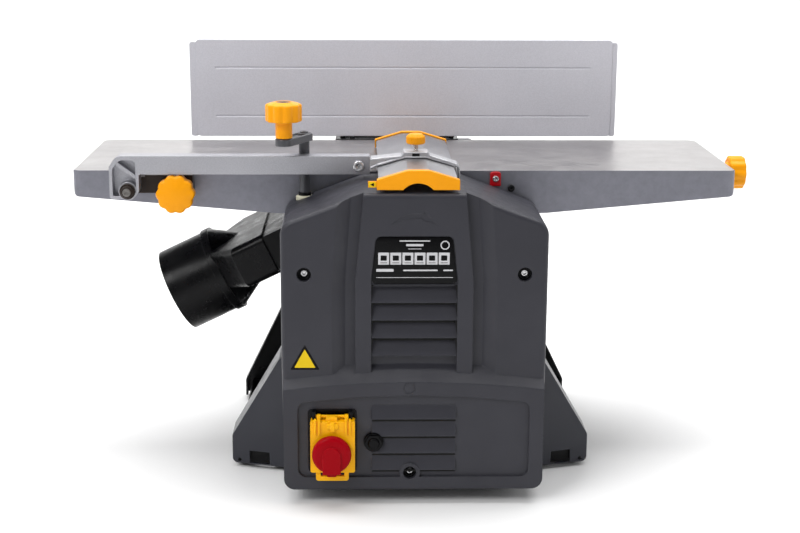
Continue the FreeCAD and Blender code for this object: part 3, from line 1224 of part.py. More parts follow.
# ---------------------------------------------------------------- all sub-parts
def main():
    roller_wheel = feed_gears()
    nodes = {
        "base_tray": base_tray(), "rubber_feet": rubber_feet(),
        "side_plate_front": side_plate(True), "side_plate_rear": side_plate(False),
        "cross_bars": cross_bars(), "outfeed_table": outfeed_table(), "infeed_table": infeed_table(),
        "depth_pointer": depth_pointer(), "depth_knob": depth_knob(),
        "cutterblock": cutterblock(), "cutter_knives": cutter_knives(), "cutter_wedges": cutter_wedges(),
        "shaft_bearings": shaft_bearings(),
        "cutter_pulley": grooved_pulley(CUTTER_Z, CUTTER_PULLEY_RADIUS, 6.02),
        "motor_pulley": grooved_pulley(MOTOR_Z, MOTOR_PULLEY_RADIUS, 5.02),
        "drive_belt": drive_belt(), "motor_housing": motor_housing(), "motor_shaft": motor_shaft(),
        "feed_roller_left": feed_roller(ROLLER_LEFT_X), "feed_roller_right": feed_roller(ROLLER_RIGHT_X),
        "roller_sprocket_left": roller_sprocket(ROLLER_LEFT_X),
        "roller_gears_right": group(roller_wheel, roller_sprocket(ROLLER_RIGHT_X)),
        "feed_chain": feed_chain(),
        "kickback_pawls": kickback_pawls(),
        "thicknesser_bed": thicknesser_bed(), "guide_posts": guide_posts(),
        "lift_screw": threaded_column(*columns()[1]), "lift_chain": lift_chain(),
        "crank_shaft": crank_shaft(), "crank_arm": crank_arm(), "crank_knob": crank_knob(),
        "shaft_bushing": shaft_bushing(),
        "front_cover": front_cover(), "cover_screws": cover_screws(), "rear_cover": rear_cover(),
        "front_skirt": front_skirt(), "rear_skirt": rear_skirt(), "cable_gland": cable_gland(),
        "switch_box": switch_box(), "switch_flap": switch_flap(), "start_button": start_button(),
        "stop_button": stop_button(), "reset_button": reset_button(), "reset_socket": reset_socket(),
        "guard_plate": guard_plate(), "guard_caps": guard_caps(), "guard_saddle": guard_saddle(),
        "guard_knob": guard_knob(), "guard_arm": guard_arm(), "arm_bracket": arm_bracket(),
        "arm_lock_knob": arm_lock_knob(),
        "fence_base": fence_base(), "fence_slide": fence_slide(), "fence_plate": fence_plate(),
        "fence_lever": fence_lever(),
        "dust_hood": dust_hood(), "hose_adapter": hose_adapter(),
    }
    for name, shape in nodes.items():
        save(name, shape)
        solids = shape.Solids
        print(f"{name:24s} solids {len(solids):3d} valid {shape.isValid()} volume {shape.Volume:12.1f}")


main()
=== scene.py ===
"""Looks of the bench-top planer: finishes, fine fittings, floor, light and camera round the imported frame."""
import json
import math

import bmesh
import bpy
from mathutils import Matrix, Vector
from mathutils.bvhtree import BVHTree


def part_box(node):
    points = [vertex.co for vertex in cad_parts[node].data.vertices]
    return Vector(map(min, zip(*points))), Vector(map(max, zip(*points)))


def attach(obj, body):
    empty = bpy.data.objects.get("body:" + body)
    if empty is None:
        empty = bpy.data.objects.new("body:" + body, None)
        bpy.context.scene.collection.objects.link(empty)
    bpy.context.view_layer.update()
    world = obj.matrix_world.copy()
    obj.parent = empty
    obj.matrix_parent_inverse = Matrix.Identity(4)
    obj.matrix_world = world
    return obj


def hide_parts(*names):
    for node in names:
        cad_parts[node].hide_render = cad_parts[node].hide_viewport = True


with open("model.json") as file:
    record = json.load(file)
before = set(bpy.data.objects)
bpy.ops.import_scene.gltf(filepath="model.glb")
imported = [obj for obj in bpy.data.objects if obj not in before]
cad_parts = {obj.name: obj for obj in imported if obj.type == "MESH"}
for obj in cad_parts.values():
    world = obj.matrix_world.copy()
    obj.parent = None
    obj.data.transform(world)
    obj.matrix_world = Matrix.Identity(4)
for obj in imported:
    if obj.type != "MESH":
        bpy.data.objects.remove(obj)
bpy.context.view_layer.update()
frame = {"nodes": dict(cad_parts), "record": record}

nodes = frame["nodes"]
MM = 0.001

# axes and faces that several pieces share, in millimetres
CRANK_SHAFT = (-118.0, -119.0)
CRANK_PIN = (-138.0, -157.0)
CRANK_ARM_TOP = 383.6
SADDLE_FRONT = 142.6
INFEED_FRONT = 107.5

# shading and mesh limits
CLOUDS = (0.3, 0.7)
EDGE_START, EDGE_FULL = 0.93, 0.80
UP_START, UP_FULL = 0.90, 0.97
SPECKLE_SIZE = 0.0013
# patch size and edge radius of the lighter edges, which are partly wear and partly a painted rim highlight
WEAR_AND_HIGHLIGHT_SIZE, WEAR_AND_HIGHLIGHT_RADIUS = 0.006, 0.0012
SHARP_ANGLE = math.radians(34)
TINY = 1e-6
SAME_HEIGHT = 1e-4


# ---------------------------------------------------------------- shader helpers
class Shader:
    """A material with short calls that add nodes, set their sockets and link them."""

    def __init__(self, name):
        self.material = bpy.data.materials.new(name)
        self.material.use_nodes = True
        self.tree = self.material.node_tree
        self.principled = self.tree.nodes["Principled BSDF"]
        self.place = self.add("ShaderNodeTexCoord").outputs["Object"]

    def add(self, kind, settings=None, **inputs):
        node = self.tree.nodes.new(kind)
        for key, value in (settings or {}).items():
            setattr(node, key, value)
        for key, value in inputs.items():
            self.put(node.inputs[key.replace("_", " ")], value)
        return node

    def put(self, socket, value):
        if isinstance(value, bpy.types.NodeSocket):
            self.tree.links.new(value, socket)
        else:
            socket.default_value = value

    def stretched(self, scale):
        """Texture place squeezed or stretched along the object's axes."""
        return self.add("ShaderNodeMapping", Vector=self.place, Scale=scale).outputs["Vector"]

    def noise(self, size, detail=3.0, roughness=0.5, place=None):
        """Noise whose blotches are about size metres across."""
        node = self.add("ShaderNodeTexNoise", Vector=place or self.place, Scale=1 / size, Detail=detail,
                        Roughness=roughness)
        return node.outputs["Fac"]

    def span(self, value, low, high, to_low=0.0, to_high=1.0):
        """Maps low..high to to_low..to_high, and stays at those ends outside."""
        node = self.add("ShaderNodeMapRange", Value=value)
        node.inputs["From Min"].default_value = low
        node.inputs["From Max"].default_value = high
        node.inputs["To Min"].default_value = to_low
        node.inputs["To Max"].default_value = to_high
        return node.outputs["Result"]

    def combined(self, kind, first, second):
        """ADD, SUBTRACT or MULTIPLY of two values."""
        node = self.add("ShaderNodeMath", {"operation": kind})
        self.put(node.inputs[0], first)
        self.put(node.inputs[1], second)
        return node.outputs[0]

    def blend(self, factor, first, second):
        """First colour where factor is 0, second where it is 1."""
        node = self.add("ShaderNodeMix", {"data_type": "RGBA"})
        self.put(node.inputs["Factor"], factor)
        self.put(node.inputs["A"], first)
        self.put(node.inputs["B"], second)
        return node.outputs["Result"]

    def bevelled(self, radius):
        """Normal that looks rounded over that radius at every edge."""
        return self.add("ShaderNodeBevel", {"samples": 4}, Radius=radius).outputs["Normal"]

    def bump(self, height, depth, normal):
        """Normal with relief of that depth laid over it."""
        return self.add("ShaderNodeBump", Height=height, Distance=depth, Normal=normal).outputs["Normal"]

    def edges(self, radius):
        """1 along sharp outer and inner edges, 0 on the open faces."""
        wide = self.bevelled(radius)
        flat = self.add("ShaderNodeNewGeometry").outputs["Normal"]
        node = self.add("ShaderNodeVectorMath", {"operation": "DOT_PRODUCT"})
        self.put(node.inputs[0], wide)
        self.put(node.inputs[1], flat)
        return self.span(node.outputs["Value"], EDGE_START, EDGE_FULL)

    def facing_up(self):
        """1 on faces that look up, 0 on the sides."""
        normal = self.add("ShaderNodeTexCoord").outputs["Normal"]
        up = self.add("ShaderNodeSeparateXYZ", Vector=normal).outputs["Z"]
        return self.span(up, UP_START, UP_FULL)


def tinted(colour, factor):
    """The colour made lighter or darker, with full opacity."""
    return tuple(min(1.0, c * factor) for c in colour) + (1.0,)


def surface(name, colour, metallic, rough, swing=0.08, tone=0.08, tone_size=0.06, grain=0.0006,
            grain_depth=0.00004, edge=0.0005, wear_and_highlight=None, specular=0.5, speckle=0.0):
    """Common finish: tone and gloss that wander, a fine grain, rounded-looking edges and, if wanted, lighter
    edges that are partly wear and partly a painted highlight along the rims.
    """
    s = Shader(name)
    cloudy = s.noise(tone_size, 4, 0.6)
    base = s.blend(s.span(cloudy, *CLOUDS), tinted(colour, 1 - tone), tinted(colour, 1 + tone))
    gloss = s.span(s.noise(tone_size * 0.35, 5, 0.65), *CLOUDS, rough - swing, rough + swing)
    if speckle:
        fine = s.span(s.noise(SPECKLE_SIZE, 2, 0.6), 0.35, 0.65, 0.0, speckle)
        base = s.blend(fine, base, tinted(colour, 1.35))
    # lighter colour in patches along sharp edges: partly wear, partly a painted rim highlight
    if wear_and_highlight:
        patchy = s.span(s.noise(WEAR_AND_HIGHLIGHT_SIZE, 4, 0.7), 0.42, 0.60)
        mask = s.combined("MULTIPLY", s.edges(WEAR_AND_HIGHLIGHT_RADIUS), patchy)
        base = s.blend(mask, base, wear_and_highlight + (1.0,))
    height = s.noise(grain, 3, 0.55)
    s.put(s.principled.inputs["Base Color"], base)
    s.put(s.principled.inputs["Roughness"], gloss)
    s.put(s.principled.inputs["Normal"], s.bump(height, grain_depth, s.bevelled(edge)))
    s.principled.inputs["Metallic"].default_value = metallic
    s.principled.inputs["Specular IOR Level"].default_value = specular
    return s.material


def milled(name, top_colour, side_colour):
    """Cast aluminium table: cutter marks swept across the milled top, blasted casting on the sides."""
    relief, edge = 0.00004, 0.0009
    s = Shader(name)
    up = s.facing_up()
    swirl = s.add("ShaderNodeTexWave", {"wave_type": "RINGS", "rings_direction": "Z"},
                  Vector=s.stretched((1, 0.55, 1)), Scale=70.0, Distortion=3.0, Detail=3.0)
    swirl.inputs["Detail Scale"].default_value = 1.2
    lines = s.noise(0.0011, 2, 0.5, s.stretched((0.02, 1, 1)))
    cloudy = s.noise(0.09, 4, 0.6)
    top = s.blend(s.span(cloudy, *CLOUDS), tinted(top_colour, 0.90), tinted(top_colour, 1.08))
    top = s.blend(s.span(lines, 0.35, 0.75, 0.0, 0.35), top, tinted(top_colour, 0.72))
    blotchy = s.span(s.noise(0.012, 5, 0.7), 0.35, 0.65)
    side = s.blend(blotchy, tinted(side_colour, 0.93), tinted(side_colour, 1.06))
    s.put(s.principled.inputs["Base Color"], s.blend(up, side, top))
    top_gloss = s.span(s.noise(0.03, 5, 0.7), *CLOUDS, 0.30, 0.44)
    side_gloss = s.span(cloudy, *CLOUDS, 0.42, 0.56)
    mixed = s.add("ShaderNodeMix", {"data_type": "FLOAT"})
    s.put(mixed.inputs["Factor"], up)
    s.put(mixed.inputs["A"], side_gloss)
    s.put(mixed.inputs["B"], top_gloss)
    s.put(s.principled.inputs["Roughness"], mixed.outputs["Result"])
    faint_swirl = s.combined("MULTIPLY", swirl.outputs["Fac"], 0.35)
    marks = s.combined("MULTIPLY", s.combined("ADD", faint_swirl, lines), up)
    pits = s.combined("MULTIPLY", s.noise(0.0012, 4, 0.6), s.combined("SUBTRACT", 1.0, up))
    height = s.combined("ADD", marks, s.combined("MULTIPLY", pits, 2.2))
    s.put(s.principled.inputs["Normal"], s.bump(height, relief, s.bevelled(edge)))
    s.principled.inputs["Metallic"].default_value = 1.0
    return s.material


def brushed(name, colour, axis, rough):
    """Extruded or turned metal whose fine lines run along axis."""
    relief, edge, squeezed = 0.00002, 0.0006, 0.015
    s = Shader(name)
    lines = s.noise(0.0007, 2, 0.5, s.stretched(tuple(squeezed if a == axis else 1.0 for a in "XYZ")))
    cloudy = s.noise(0.07, 4, 0.6)
    base = s.blend(s.span(cloudy, *CLOUDS), tinted(colour, 0.95), tinted(colour, 1.05))
    base = s.blend(s.span(lines, 0.4, 0.8, 0.0, 0.25), base, tinted(colour, 0.78))
    s.put(s.principled.inputs["Base Color"], base)
    gloss = s.span(s.noise(0.02, 5, 0.6), *CLOUDS, rough - 0.05, rough + 0.07)
    s.put(s.principled.inputs["Roughness"], gloss)
    s.put(s.principled.inputs["Normal"], s.bump(lines, relief, s.bevelled(edge)))
    s.principled.inputs["Metallic"].default_value = 1.0
    s.principled.inputs["Anisotropic"].default_value = 0.35
    return s.material


# ---------------------------------------------------------------- materials
FINISH = {
    "table_cast": milled("table_cast", (0.45, 0.435, 0.435), (0.235, 0.237, 0.272)),
    "bed_cast": milled("bed_cast", (0.46, 0.46, 0.46), (0.30, 0.31, 0.33)),
    "sheet_aluminium": surface(
        "sheet_aluminium", (0.61, 0.605, 0.655), 0.45, 0.48, swing=0.04, tone=0.03, tone_size=0.12,
        grain=0.0010, grain_depth=0.00016, edge=0.0014, speckle=0.25),
    "guard_sheet": brushed("guard_sheet", (0.46, 0.46, 0.475), "Y", 0.34),
    "guard_cast": surface(
        "guard_cast", (0.39, 0.39, 0.42), 0.9, 0.42, tone=0.05, grain=0.0012, grain_depth=0.00022,
        edge=0.0012, speckle=0.5),
    "saddle_cast": surface(
        "saddle_cast", (0.62, 0.62, 0.645), 0.85, 0.38, tone=0.10, tone_size=0.012, grain=0.0016,
        grain_depth=0.00024, edge=0.0012),
    "cover_plastic": surface(
        "cover_plastic", (0.029, 0.029, 0.037), 0.0, 0.42, tone=0.07, grain=0.0007, grain_depth=0.00006,
        edge=0.0020, wear_and_highlight=(0.055, 0.056, 0.064), specular=0.30),
    "skirt_paint": surface(
        "skirt_paint", (0.028, 0.029, 0.038), 0.0, 0.38, tone=0.07, grain=0.0005, edge=0.0014,
        wear_and_highlight=(0.075, 0.078, 0.09), specular=0.32),
    "black_steel": surface(
        "black_steel", (0.006, 0.006, 0.007), 0.0, 0.34, grain_depth=0.00005, edge=0.0007,
        wear_and_highlight=(0.03, 0.03, 0.034), specular=0.25),
    "black_plastic": surface(
        "black_plastic", (0.003, 0.003, 0.0036), 0.0, 0.30, grain=0.0007, edge=0.0014,
        wear_and_highlight=(0.011, 0.011, 0.014), specular=0.14),
    "yellow_plastic": surface(
        "yellow_plastic", (0.85, 0.325, 0.0012), 0.0, 0.36, tone=0.05, grain=0.0008, grain_depth=0.00003,
        edge=0.0012, wear_and_highlight=(0.94, 0.40, 0.006), specular=0.18),
    "red_plastic": surface(
        "red_plastic", (0.30, 0.0006, 0.005), 0.0, 0.32, tone=0.05, grain=0.0010, grain_depth=0.00002,
        edge=0.0010, wear_and_highlight=(0.40, 0.004, 0.012), specular=0.06),
    "red_metal": surface(
        "red_metal", (0.38, 0.001, 0.006), 0.0, 0.30, grain=0.0008, grain_depth=0.00002,
        wear_and_highlight=(0.55, 0.05, 0.05), specular=0.3),
    "green_plastic": surface(
        "green_plastic", (0.015, 0.22, 0.03), 0.0, 0.34, edge=0.0008, wear_and_highlight=(0.04, 0.34, 0.08), specular=0.3),
    "steel": brushed("steel", (0.60, 0.60, 0.61), "Z", 0.24),
    "knife_steel": brushed("knife_steel", (0.68, 0.68, 0.70), "Y", 0.20),
    "chain_steel": surface("chain_steel", (0.20, 0.19, 0.18), 1.0, 0.40, grain=0.0012, grain_depth=0.0001),
    "grey_cast": surface(
        "grey_cast", (0.075, 0.077, 0.086), 0.2, 0.34, grain=0.0010, grain_depth=0.00010, edge=0.0010,
        wear_and_highlight=(0.16, 0.165, 0.18), specular=0.4),
    "dark_steel": surface(
        "dark_steel", (0.030, 0.023, 0.020), 0.6, 0.38, grain=0.0008, grain_depth=0.00006, edge=0.0010,
        wear_and_highlight=(0.13, 0.10, 0.085), specular=0.3),
    "motor_steel": surface(
        "motor_steel", (0.10, 0.104, 0.115), 0.3, 0.45, grain=0.0009, grain_depth=0.00006,
        wear_and_highlight=(0.3, 0.3, 0.32)),
    "rubber": surface(
        "rubber", (0.010, 0.010, 0.010), 0.0, 0.78, tone=0.12, grain=0.0010, grain_depth=0.00008,
        specular=0.2),
    "bushing_plastic": surface("bushing_plastic", (0.52, 0.50, 0.38), 0.0, 0.42, tone=0.06, specular=0.3),
    "switch_yellow": surface(
        "switch_yellow", (0.90, 0.44, 0.0012), 0.0, 0.34, tone=0.05, grain=0.0008, grain_depth=0.00003,
        edge=0.0012, wear_and_highlight=(0.96, 0.52, 0.006), specular=0.16),
    "gear_plastic": surface("gear_plastic", (0.70, 0.68, 0.60), 0.0, 0.40, tone=0.06),
    "plate_black": surface(
        "plate_black", (0.0015, 0.0015, 0.002), 0.0, 0.24, swing=0.05, grain_depth=0.00001, edge=0.0003,
        specular=0.12),
    "plate_pale": surface(
        "plate_pale", (0.56, 0.56, 0.58), 0.0, 0.45, tone=0.05, grain_depth=0.00001, edge=0.0001,
        specular=0.3),
    "sign_yellow": surface(
        "sign_yellow", (0.72, 0.50, 0.004), 0.0, 0.36, tone=0.04, grain_depth=0.00001, edge=0.0001,
        specular=0.2),
}
# nodes whose look differs from the rest of their slot
OWN_LOOK = {"crank_shaft": "grey_cast", "reset_socket": "plate_black", "reset_button": "plate_black",
            "switch_flap": "switch_yellow"}


def paint_cad_nodes():
    """Every CAD node takes the finish of its own slot."""
    for part in frame["record"]["subparts"]:
        thing = nodes[part["node"]]
        thing.data.materials.clear()
        thing.data.materials.append(FINISH[OWN_LOOK.get(part["node"], part["material_slot"])])


# ---------------------------------------------------------------- mesh helpers, in millimetres
# the way a piece looks: its drawing's two axes and the direction its heights grow in
AXES = {
    "up": ((1, 0, 0), (0, 1, 0), (0, 0, 1)),
    "front": ((1, 0, 0), (0, 0, 1), (0, -1, 0)),
    "right": ((0, 1, 0), (0, 0, 1), (1, 0, 0)),
}


def middle(node, axes):
    """Middle of a CAD node's box in millimetres, on the axes named."""
    low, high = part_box(node)
    return [(low["xyz".index(a)] + high["xyz".index(a)]) / 2 / MM for a in axes]


def face_of(node, x, z):
    """How far in front of Y = 0 the node's front skin stands at that place, in millimetres."""
    mesh = nodes[node].data
    tree = BVHTree.FromPolygons([v.co for v in mesh.vertices], [p.vertices for p in mesh.polygons])
    return -tree.ray_cast(Vector((x * MM, -1, z * MM)), Vector((0, 1, 0)))[0].y / MM


def front_spot(node, reach):
    """Middle, across and up, of what a node has in front of that distance, in millimetres."""
    ahead = [v.co for v in nodes[node].data.vertices if -v.co.y / MM > reach]
    return [(min(c[axis] for c in ahead) + max(c[axis] for c in ahead)) / 2 / MM for axis in (0, 2)]


def softened(corners, radius, closed=True, steps=5):
    """The corners joined by straight runs, each corner rounded over about radius."""
    points = []
    count = len(corners)
    for i, corner in enumerate(corners):
        here = Vector(corner)
        if not closed and i in (0, count - 1):
            points.append(here)
            continue
        back = Vector(corners[i - 1]) - here
        ahead = Vector(corners[(i + 1) % count]) - here
        reach = min(radius, back.length * 0.49, ahead.length * 0.49)
        first = here + back.normalized() * reach
        last = here + ahead.normalized() * reach
        for k in range(steps + 1):
            t = k / steps
            points.append(first * (1 - t) ** 2 + here * (2 * t * (1 - t)) + last * t ** 2)
    return points


def block(x0, x1, y0, y1):
    """Corners of an upright rectangle."""
    return [(x0, y0), (x1, y0), (x1, y1), (x0, y1)]


def slab(bm, outline, low, high, rounding=0.0):
    """Adds a plate with that outline between two heights, its upper rim rounded. Returns its top face."""
    lower = [bm.verts.new((x, y, low)) for x, y in outline]
    upper = [bm.verts.new((x, y, high)) for x, y in outline]
    sides = [bm.faces.new((lower[i - 1], lower[i], upper[i], upper[i - 1])) for i in range(len(outline))]
    top = bm.faces.new(upper)
    base = bm.faces.new(lower[::-1])
    bmesh.ops.recalc_face_normals(bm, faces=sides + [top, base])
    if rounding:
        rim = list(top.edges)
        bmesh.ops.bevel(bm, geom=rim, offset=rounding, segments=3, profile=0.5, affect="EDGES",
                        clamp_overlap=True)
        level = [f for f in bm.faces if abs(f.calc_center_median().z - high) < SAME_HEIGHT]
        top = max(level, key=lambda f: f.calc_area())
    return top


def turned(bm, profile, centre, sides, rule=None):
    """Adds a body turned about an upright axis from (radius, height) points; rule may vary the radius."""
    rows = []
    for radius, height in profile:
        ring = []
        for i in range(sides if radius > TINY else 1):
            angle = 2 * math.pi * i / sides
            reach = rule(angle, radius) if rule else radius
            x = centre[0] + reach * math.cos(angle)
            y = centre[1] + reach * math.sin(angle)
            ring.append(bm.verts.new((x, y, height)))
        rows.append(ring)
    for low, high in zip(rows, rows[1:]):
        for i in range(sides):
            j = (i + 1) % sides
            loop = [low[i % len(low)], low[j % len(low)], high[j % len(high)], high[i % len(high)]]
            loop = list(dict.fromkeys(loop))
            if len(loop) > 2:
                bm.faces.new(loop)


def lobed(radius, count, depth):
    """Rule for a grip: wide round lobes with narrow hollows between them, fading out towards the axis."""
    blunt = 0.04
    fade_start, fade_over = 0.60, 0.35

    def rule(angle, reach):
        hollow = 1 - math.sqrt(math.cos(count * angle / 2) ** 2 + blunt) / math.sqrt(1 + blunt)
        fade = min(1.0, max(0.0, (reach / radius - fade_start) / fade_over))
        return reach - depth * hollow * fade
    return rule


def hexed(socket):
    """Rule that makes a hexagon of the ring whose radius is socket and leaves the others round."""
    def rule(angle, reach):
        if abs(reach - socket) > TINY:
            return reach
        return reach / math.cos(angle % (math.pi / 3) - math.pi / 6)
    return rule


def socket_head(bm, centre, radius, low, high, socket):
    """Adds a cap screw's head with its hexagon socket."""
    floor = high - (high - low) * 0.6
    corners = [(radius, low), (radius, high), (socket + 0.35, high)]
    rim = softened(corners, radius * 0.18, closed=False, steps=4)
    profile = [(0, low)] + rim + [(socket, high - 0.3), (socket, floor), (0, floor - socket * 0.3)]
    turned(bm, profile, centre, 48, hexed(socket))


def threaded(bm, centre, radius, low, high, pitch):
    """Adds a stud with ridges at that pitch."""
    profile = [(0, low)]
    height = low
    while height + pitch < high:
        profile += [(radius, height + 0.3 * pitch), (radius - 0.45 * pitch, height + 0.8 * pitch)]
        height += pitch
    turned(bm, profile + [(radius, high), (0, high)], centre, 32)


def grip(radius, low, high, collar, foot, dome):
    """Profile of a moulded knob: a straight collar up from foot, then a grip with rounded rims and a dome."""
    corners = [(collar, foot), (collar, low), (radius, low), (radius, high - dome), (radius * 0.45, high)]
    return [(0, foot)] + softened(corners, 2.4, closed=False) + [(0, high + 0.1)]


def piece(name, bm, way, finish, slot, body, *replaced):
    """Turns the shapes in bm the way named and makes them one piece that rides on body."""
    across, along, out = (Vector(a) for a in AXES[way])
    turn = Matrix((across, along, out)).transposed().to_4x4()
    bmesh.ops.transform(bm, matrix=Matrix.Scale(MM, 4) @ turn, verts=bm.verts)
    bmesh.ops.recalc_face_normals(bm, faces=bm.faces)
    for face in bm.faces:
        face.smooth = True
    mesh = bpy.data.meshes.new(name)
    bm.to_mesh(mesh)
    bm.free()
    mesh.set_sharp_from_angle(angle=SHARP_ANGLE)
    mesh.materials.append(finish)
    thing = put(bpy.data.objects.new(name, mesh))
    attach(thing, body)
    if replaced:
        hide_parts(*replaced)


def put(thing):
    """Adds a new object to the scene."""
    bpy.context.scene.collection.objects.link(thing)
    return thing


# ---------------------------------------------------------------- front cover
def rating_plate():
    """Blank black plate in the cover's recess, with plain pale bars, cells and a ring."""
    recess = face_of("front_cover", 0, 270)
    face, ink = recess + 1.0, recess + 1.12
    low, high, foot, head = 242.2, 292.2, 45.0, 39.6
    bm = bmesh.new()
    outline = softened([(-foot, low), (foot, low), (head, high), (-head, high)], 5.0)
    slab(bm, outline, recess + 0.05, face, 0.35)
    piece("rating_plate", bm, "front", FINISH["plate_black"], "black_plastic", "root")

    cells, pitch = 6, 12.6
    bars = [(-16, 16, 287.4, 288.6), (-9, 9, 282.4, 284.8), (-7, 7, 279.2, 279.9), (-40, -22, 255.2, 258.2),
            (-12, 24, 255.8, 257.4), (30, 40, 255.8, 257.4), (-40, 40, 248.6, 249.2)]
    bars += [(-38 + pitch * k, -26.6 + pitch * k, 262.8, 275.6) for k in range(cells)]
    bm = bmesh.new()
    for x0, x1, z0, z1 in bars:
        slab(bm, softened(block(x0, x1, z0, z1), 0.6, steps=3), face, ink)
    ring_inner, ring_outer, ring_centre = 3.6, 4.8, (31.5, 283.5)
    ring = [(ring_inner, face), (ring_inner, face + 0.12), (ring_outer, face + 0.12), (ring_outer, face)]
    turned(bm, ring + ring[:1], ring_centre, 40)
    piece("rating_plate_marks", bm, "front", FINISH["plate_pale"], "gear_plastic", "root")

    bm = bmesh.new()
    for k in range(cells):
        x = -32.3 + pitch * k
        slab(bm, softened(block(x - 3.2, x + 3.2, 267.0, 272.6), 0.8, steps=3), recess + 1.1, recess + 1.2)
        slab(bm, block(x - 3.6, x + 3.6, 264.4, 265.0), recess + 1.1, recess + 1.2)
    piece("rating_plate_cells", bm, "front", FINISH["plate_black"], "black_plastic", "root")


def caution_sign():
    """Plain yellow triangle with a black border."""
    x, low, high, half = -115.3, 148.6, 175.8, 15.4
    skin = face_of("front_cover", x, (low + high) / 2)
    for name, inset, top, finish, slot in (
            ("caution_sign_border", 0, 0.35, "plate_black", "black_plastic"),
            ("caution_sign_field", 2.2, 0.50, "sign_yellow", "yellow_plastic")):
        left, right = x - half + inset * 1.9, x + half - inset * 1.9
        bm = bmesh.new()
        corners = [(left, low + inset), (right, low + inset), (x, high - inset * 2.1)]
        slab(bm, softened(corners, 1.2), skin - 0.05, skin + top)
        piece(name, bm, "front", FINISH[finish], slot, "root")


def mould_mark():
    """Round date mark moulded between the two louvre fields."""
    x, z, inner, outer = -5.0, 130.5, 5.3, 6.4
    skin = face_of("front_cover", x, z)
    sunk, proud = skin - 0.1, skin + 0.4
    bm = bmesh.new()
    turned(bm, [(inner, sunk), (inner, proud), (outer, proud), (outer, sunk), (inner, sunk)], (x, z), 48)
    piece("mould_mark", bm, "front", FINISH["cover_plastic"], "cover_plastic", "root")


def louvre_shadow_strips():
    """Black strips in the gaps over and beside the louvre blades: painted shade for the shadow under each
    blade's lip and at the blades' ends.
    """
    upper_tops, lower_tops = (240.5, 221.5, 202.0, 182.3), (113.6, 94.5, 75.4, 56.3)
    upper_half, lower_half = 44.6, 44.4
    upper_back, upper_front = 219.5, 223.0
    lower_back, lower_front = 235.0, 237.3
    bm = bmesh.new()
    for top in upper_tops:
        if top != upper_tops[0]:
            slab(bm, block(-upper_half, upper_half, top - 4.0, top + 0.3), upper_back, upper_front)
        for sign in (-1, 1):
            wedge = [(sign * 45.3, top - 0.5), (sign * 43.0, top - 0.5), (sign * 45.3, top - 17.5)]
            slab(bm, wedge, 221, 228.4)
    for top in lower_tops[1:]:
        slab(bm, block(-lower_half, lower_half, top - 1.6, top + 1.2), lower_back, lower_front)
    last = lower_tops[-1]
    slab(bm, block(-lower_half, lower_half, last - 20.2, last - 17.9), lower_back + 1.0, lower_front)
    # painted shade: black strips and wedges where the blades' lips and ends cast shadow
    piece("louvre_shadow_strips", bm, "front", FINISH["rubber"], "rubber", "root")


def cover_fasteners():
    """Bright screws with black washers at the bottom of the cover's wells."""
    wells = ((-115.5, 252, 222.7, 7.2), (115.5, 252, 222.7, 7.2), (-4, 35.5, 232.7, 6.7))
    bore = 3.0
    heads = bmesh.new()
    washers = bmesh.new()
    for x, z, seat, reach in wells:
        socket_head(heads, (x, z), 3.5, seat - 1.4, seat + 0.6, 1.7)
        back, rim = seat - 1.2, seat + 1.6
        outer = softened([(bore, back), (reach, back), (reach, rim), (reach - 1.5, rim)], 0.4,
                         closed=False, steps=3)
        dish = [(reach - 2.2, seat - 0.6), (bore, seat - 0.8), (bore, back)]
        turned(washers, outer + dish, (x, z), 48)
    piece("cover_screw_heads", heads, "front", FINISH["steel"], "steel", "root", "cover_screws")
    piece("cover_screw_washers", washers, "front", FINISH["black_plastic"], "black_plastic", "root")


# ---------------------------------------------------------------- switch
def stop_head():
    """Mushroom head with rounded rim, an arched tongue over its lower half and a small tab below."""
    x, z = middle("stop_button", "xz")[0], 63.3
    rim_back, rim_front, crown = 256.0, 260.6, 264.5
    arch_radius, tab_back = 9.6, 256.2
    bm = bmesh.new()
    profile = [(19.6, rim_back), (20.7, rim_back), (20.7, rim_front), (18.0, 262.8), (9.0, 264.2)]
    turned(bm, [(0, rim_back)] + softened(profile, 1.6, closed=False) + [(0, crown)], (x, z), 96)
    arch = [(x + arch_radius * math.cos(math.radians(a)), z + 0.6 + arch_radius * math.sin(math.radians(a)))
            for a in range(0, 181, 12)]
    foot = z - 19.6
    tongue = slab(bm, [(x + arch_radius, foot)] + arch + [(x - arch_radius, foot)], 259, 266.2, 0.7)
    bmesh.ops.inset_region(bm, faces=[tongue], thickness=2.0, depth=0)
    slab(bm, softened(block(x - 5, x + 5, foot - 5.0, foot + 2), 1.0, steps=3), tab_back, 259.4, 0.5)
    stem_radius, stem_back, stem_front = 9, 240, 256.5
    stem = [(0, stem_back), (stem_radius, stem_back), (stem_radius, stem_front), (0, stem_front)]
    turned(bm, stem, (x, z), 40)
    piece("stop_head", bm, "front", FINISH["red_plastic"], "red_plastic", "stop", "stop_button")


def flap_ribs():
    """Four ribs under the hinge posts of the flap, and the catch between them."""
    low, high = (Vector(corner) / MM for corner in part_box("switch_flap"))
    face = face_of("switch_flap", low.x + 8, 92)
    sunk = face - 0.5
    centre = (low.x + high.x) / 2
    bm = bmesh.new()
    for x in (low.x + 5.2, low.x + 9.4, high.x - 9.4, high.x - 5.2):
        slab(bm, softened(block(x - 1.1, x + 1.1, 84.0, 101.5), 0.9, steps=3), sunk, face + 2.2, 0.5)
    slab(bm, softened(block(centre - 6, centre + 6, 90.0, 96.0), 1.0, steps=3), sunk, face + 1.8, 0.5)
    slab(bm, softened(block(centre - 2.2, centre + 2.2, 87.5, 98.0), 0.8, steps=3), sunk, face + 2.6, 0.5)
    piece("flap_ribs", bm, "front", FINISH["switch_yellow"], "yellow_plastic", "flap")


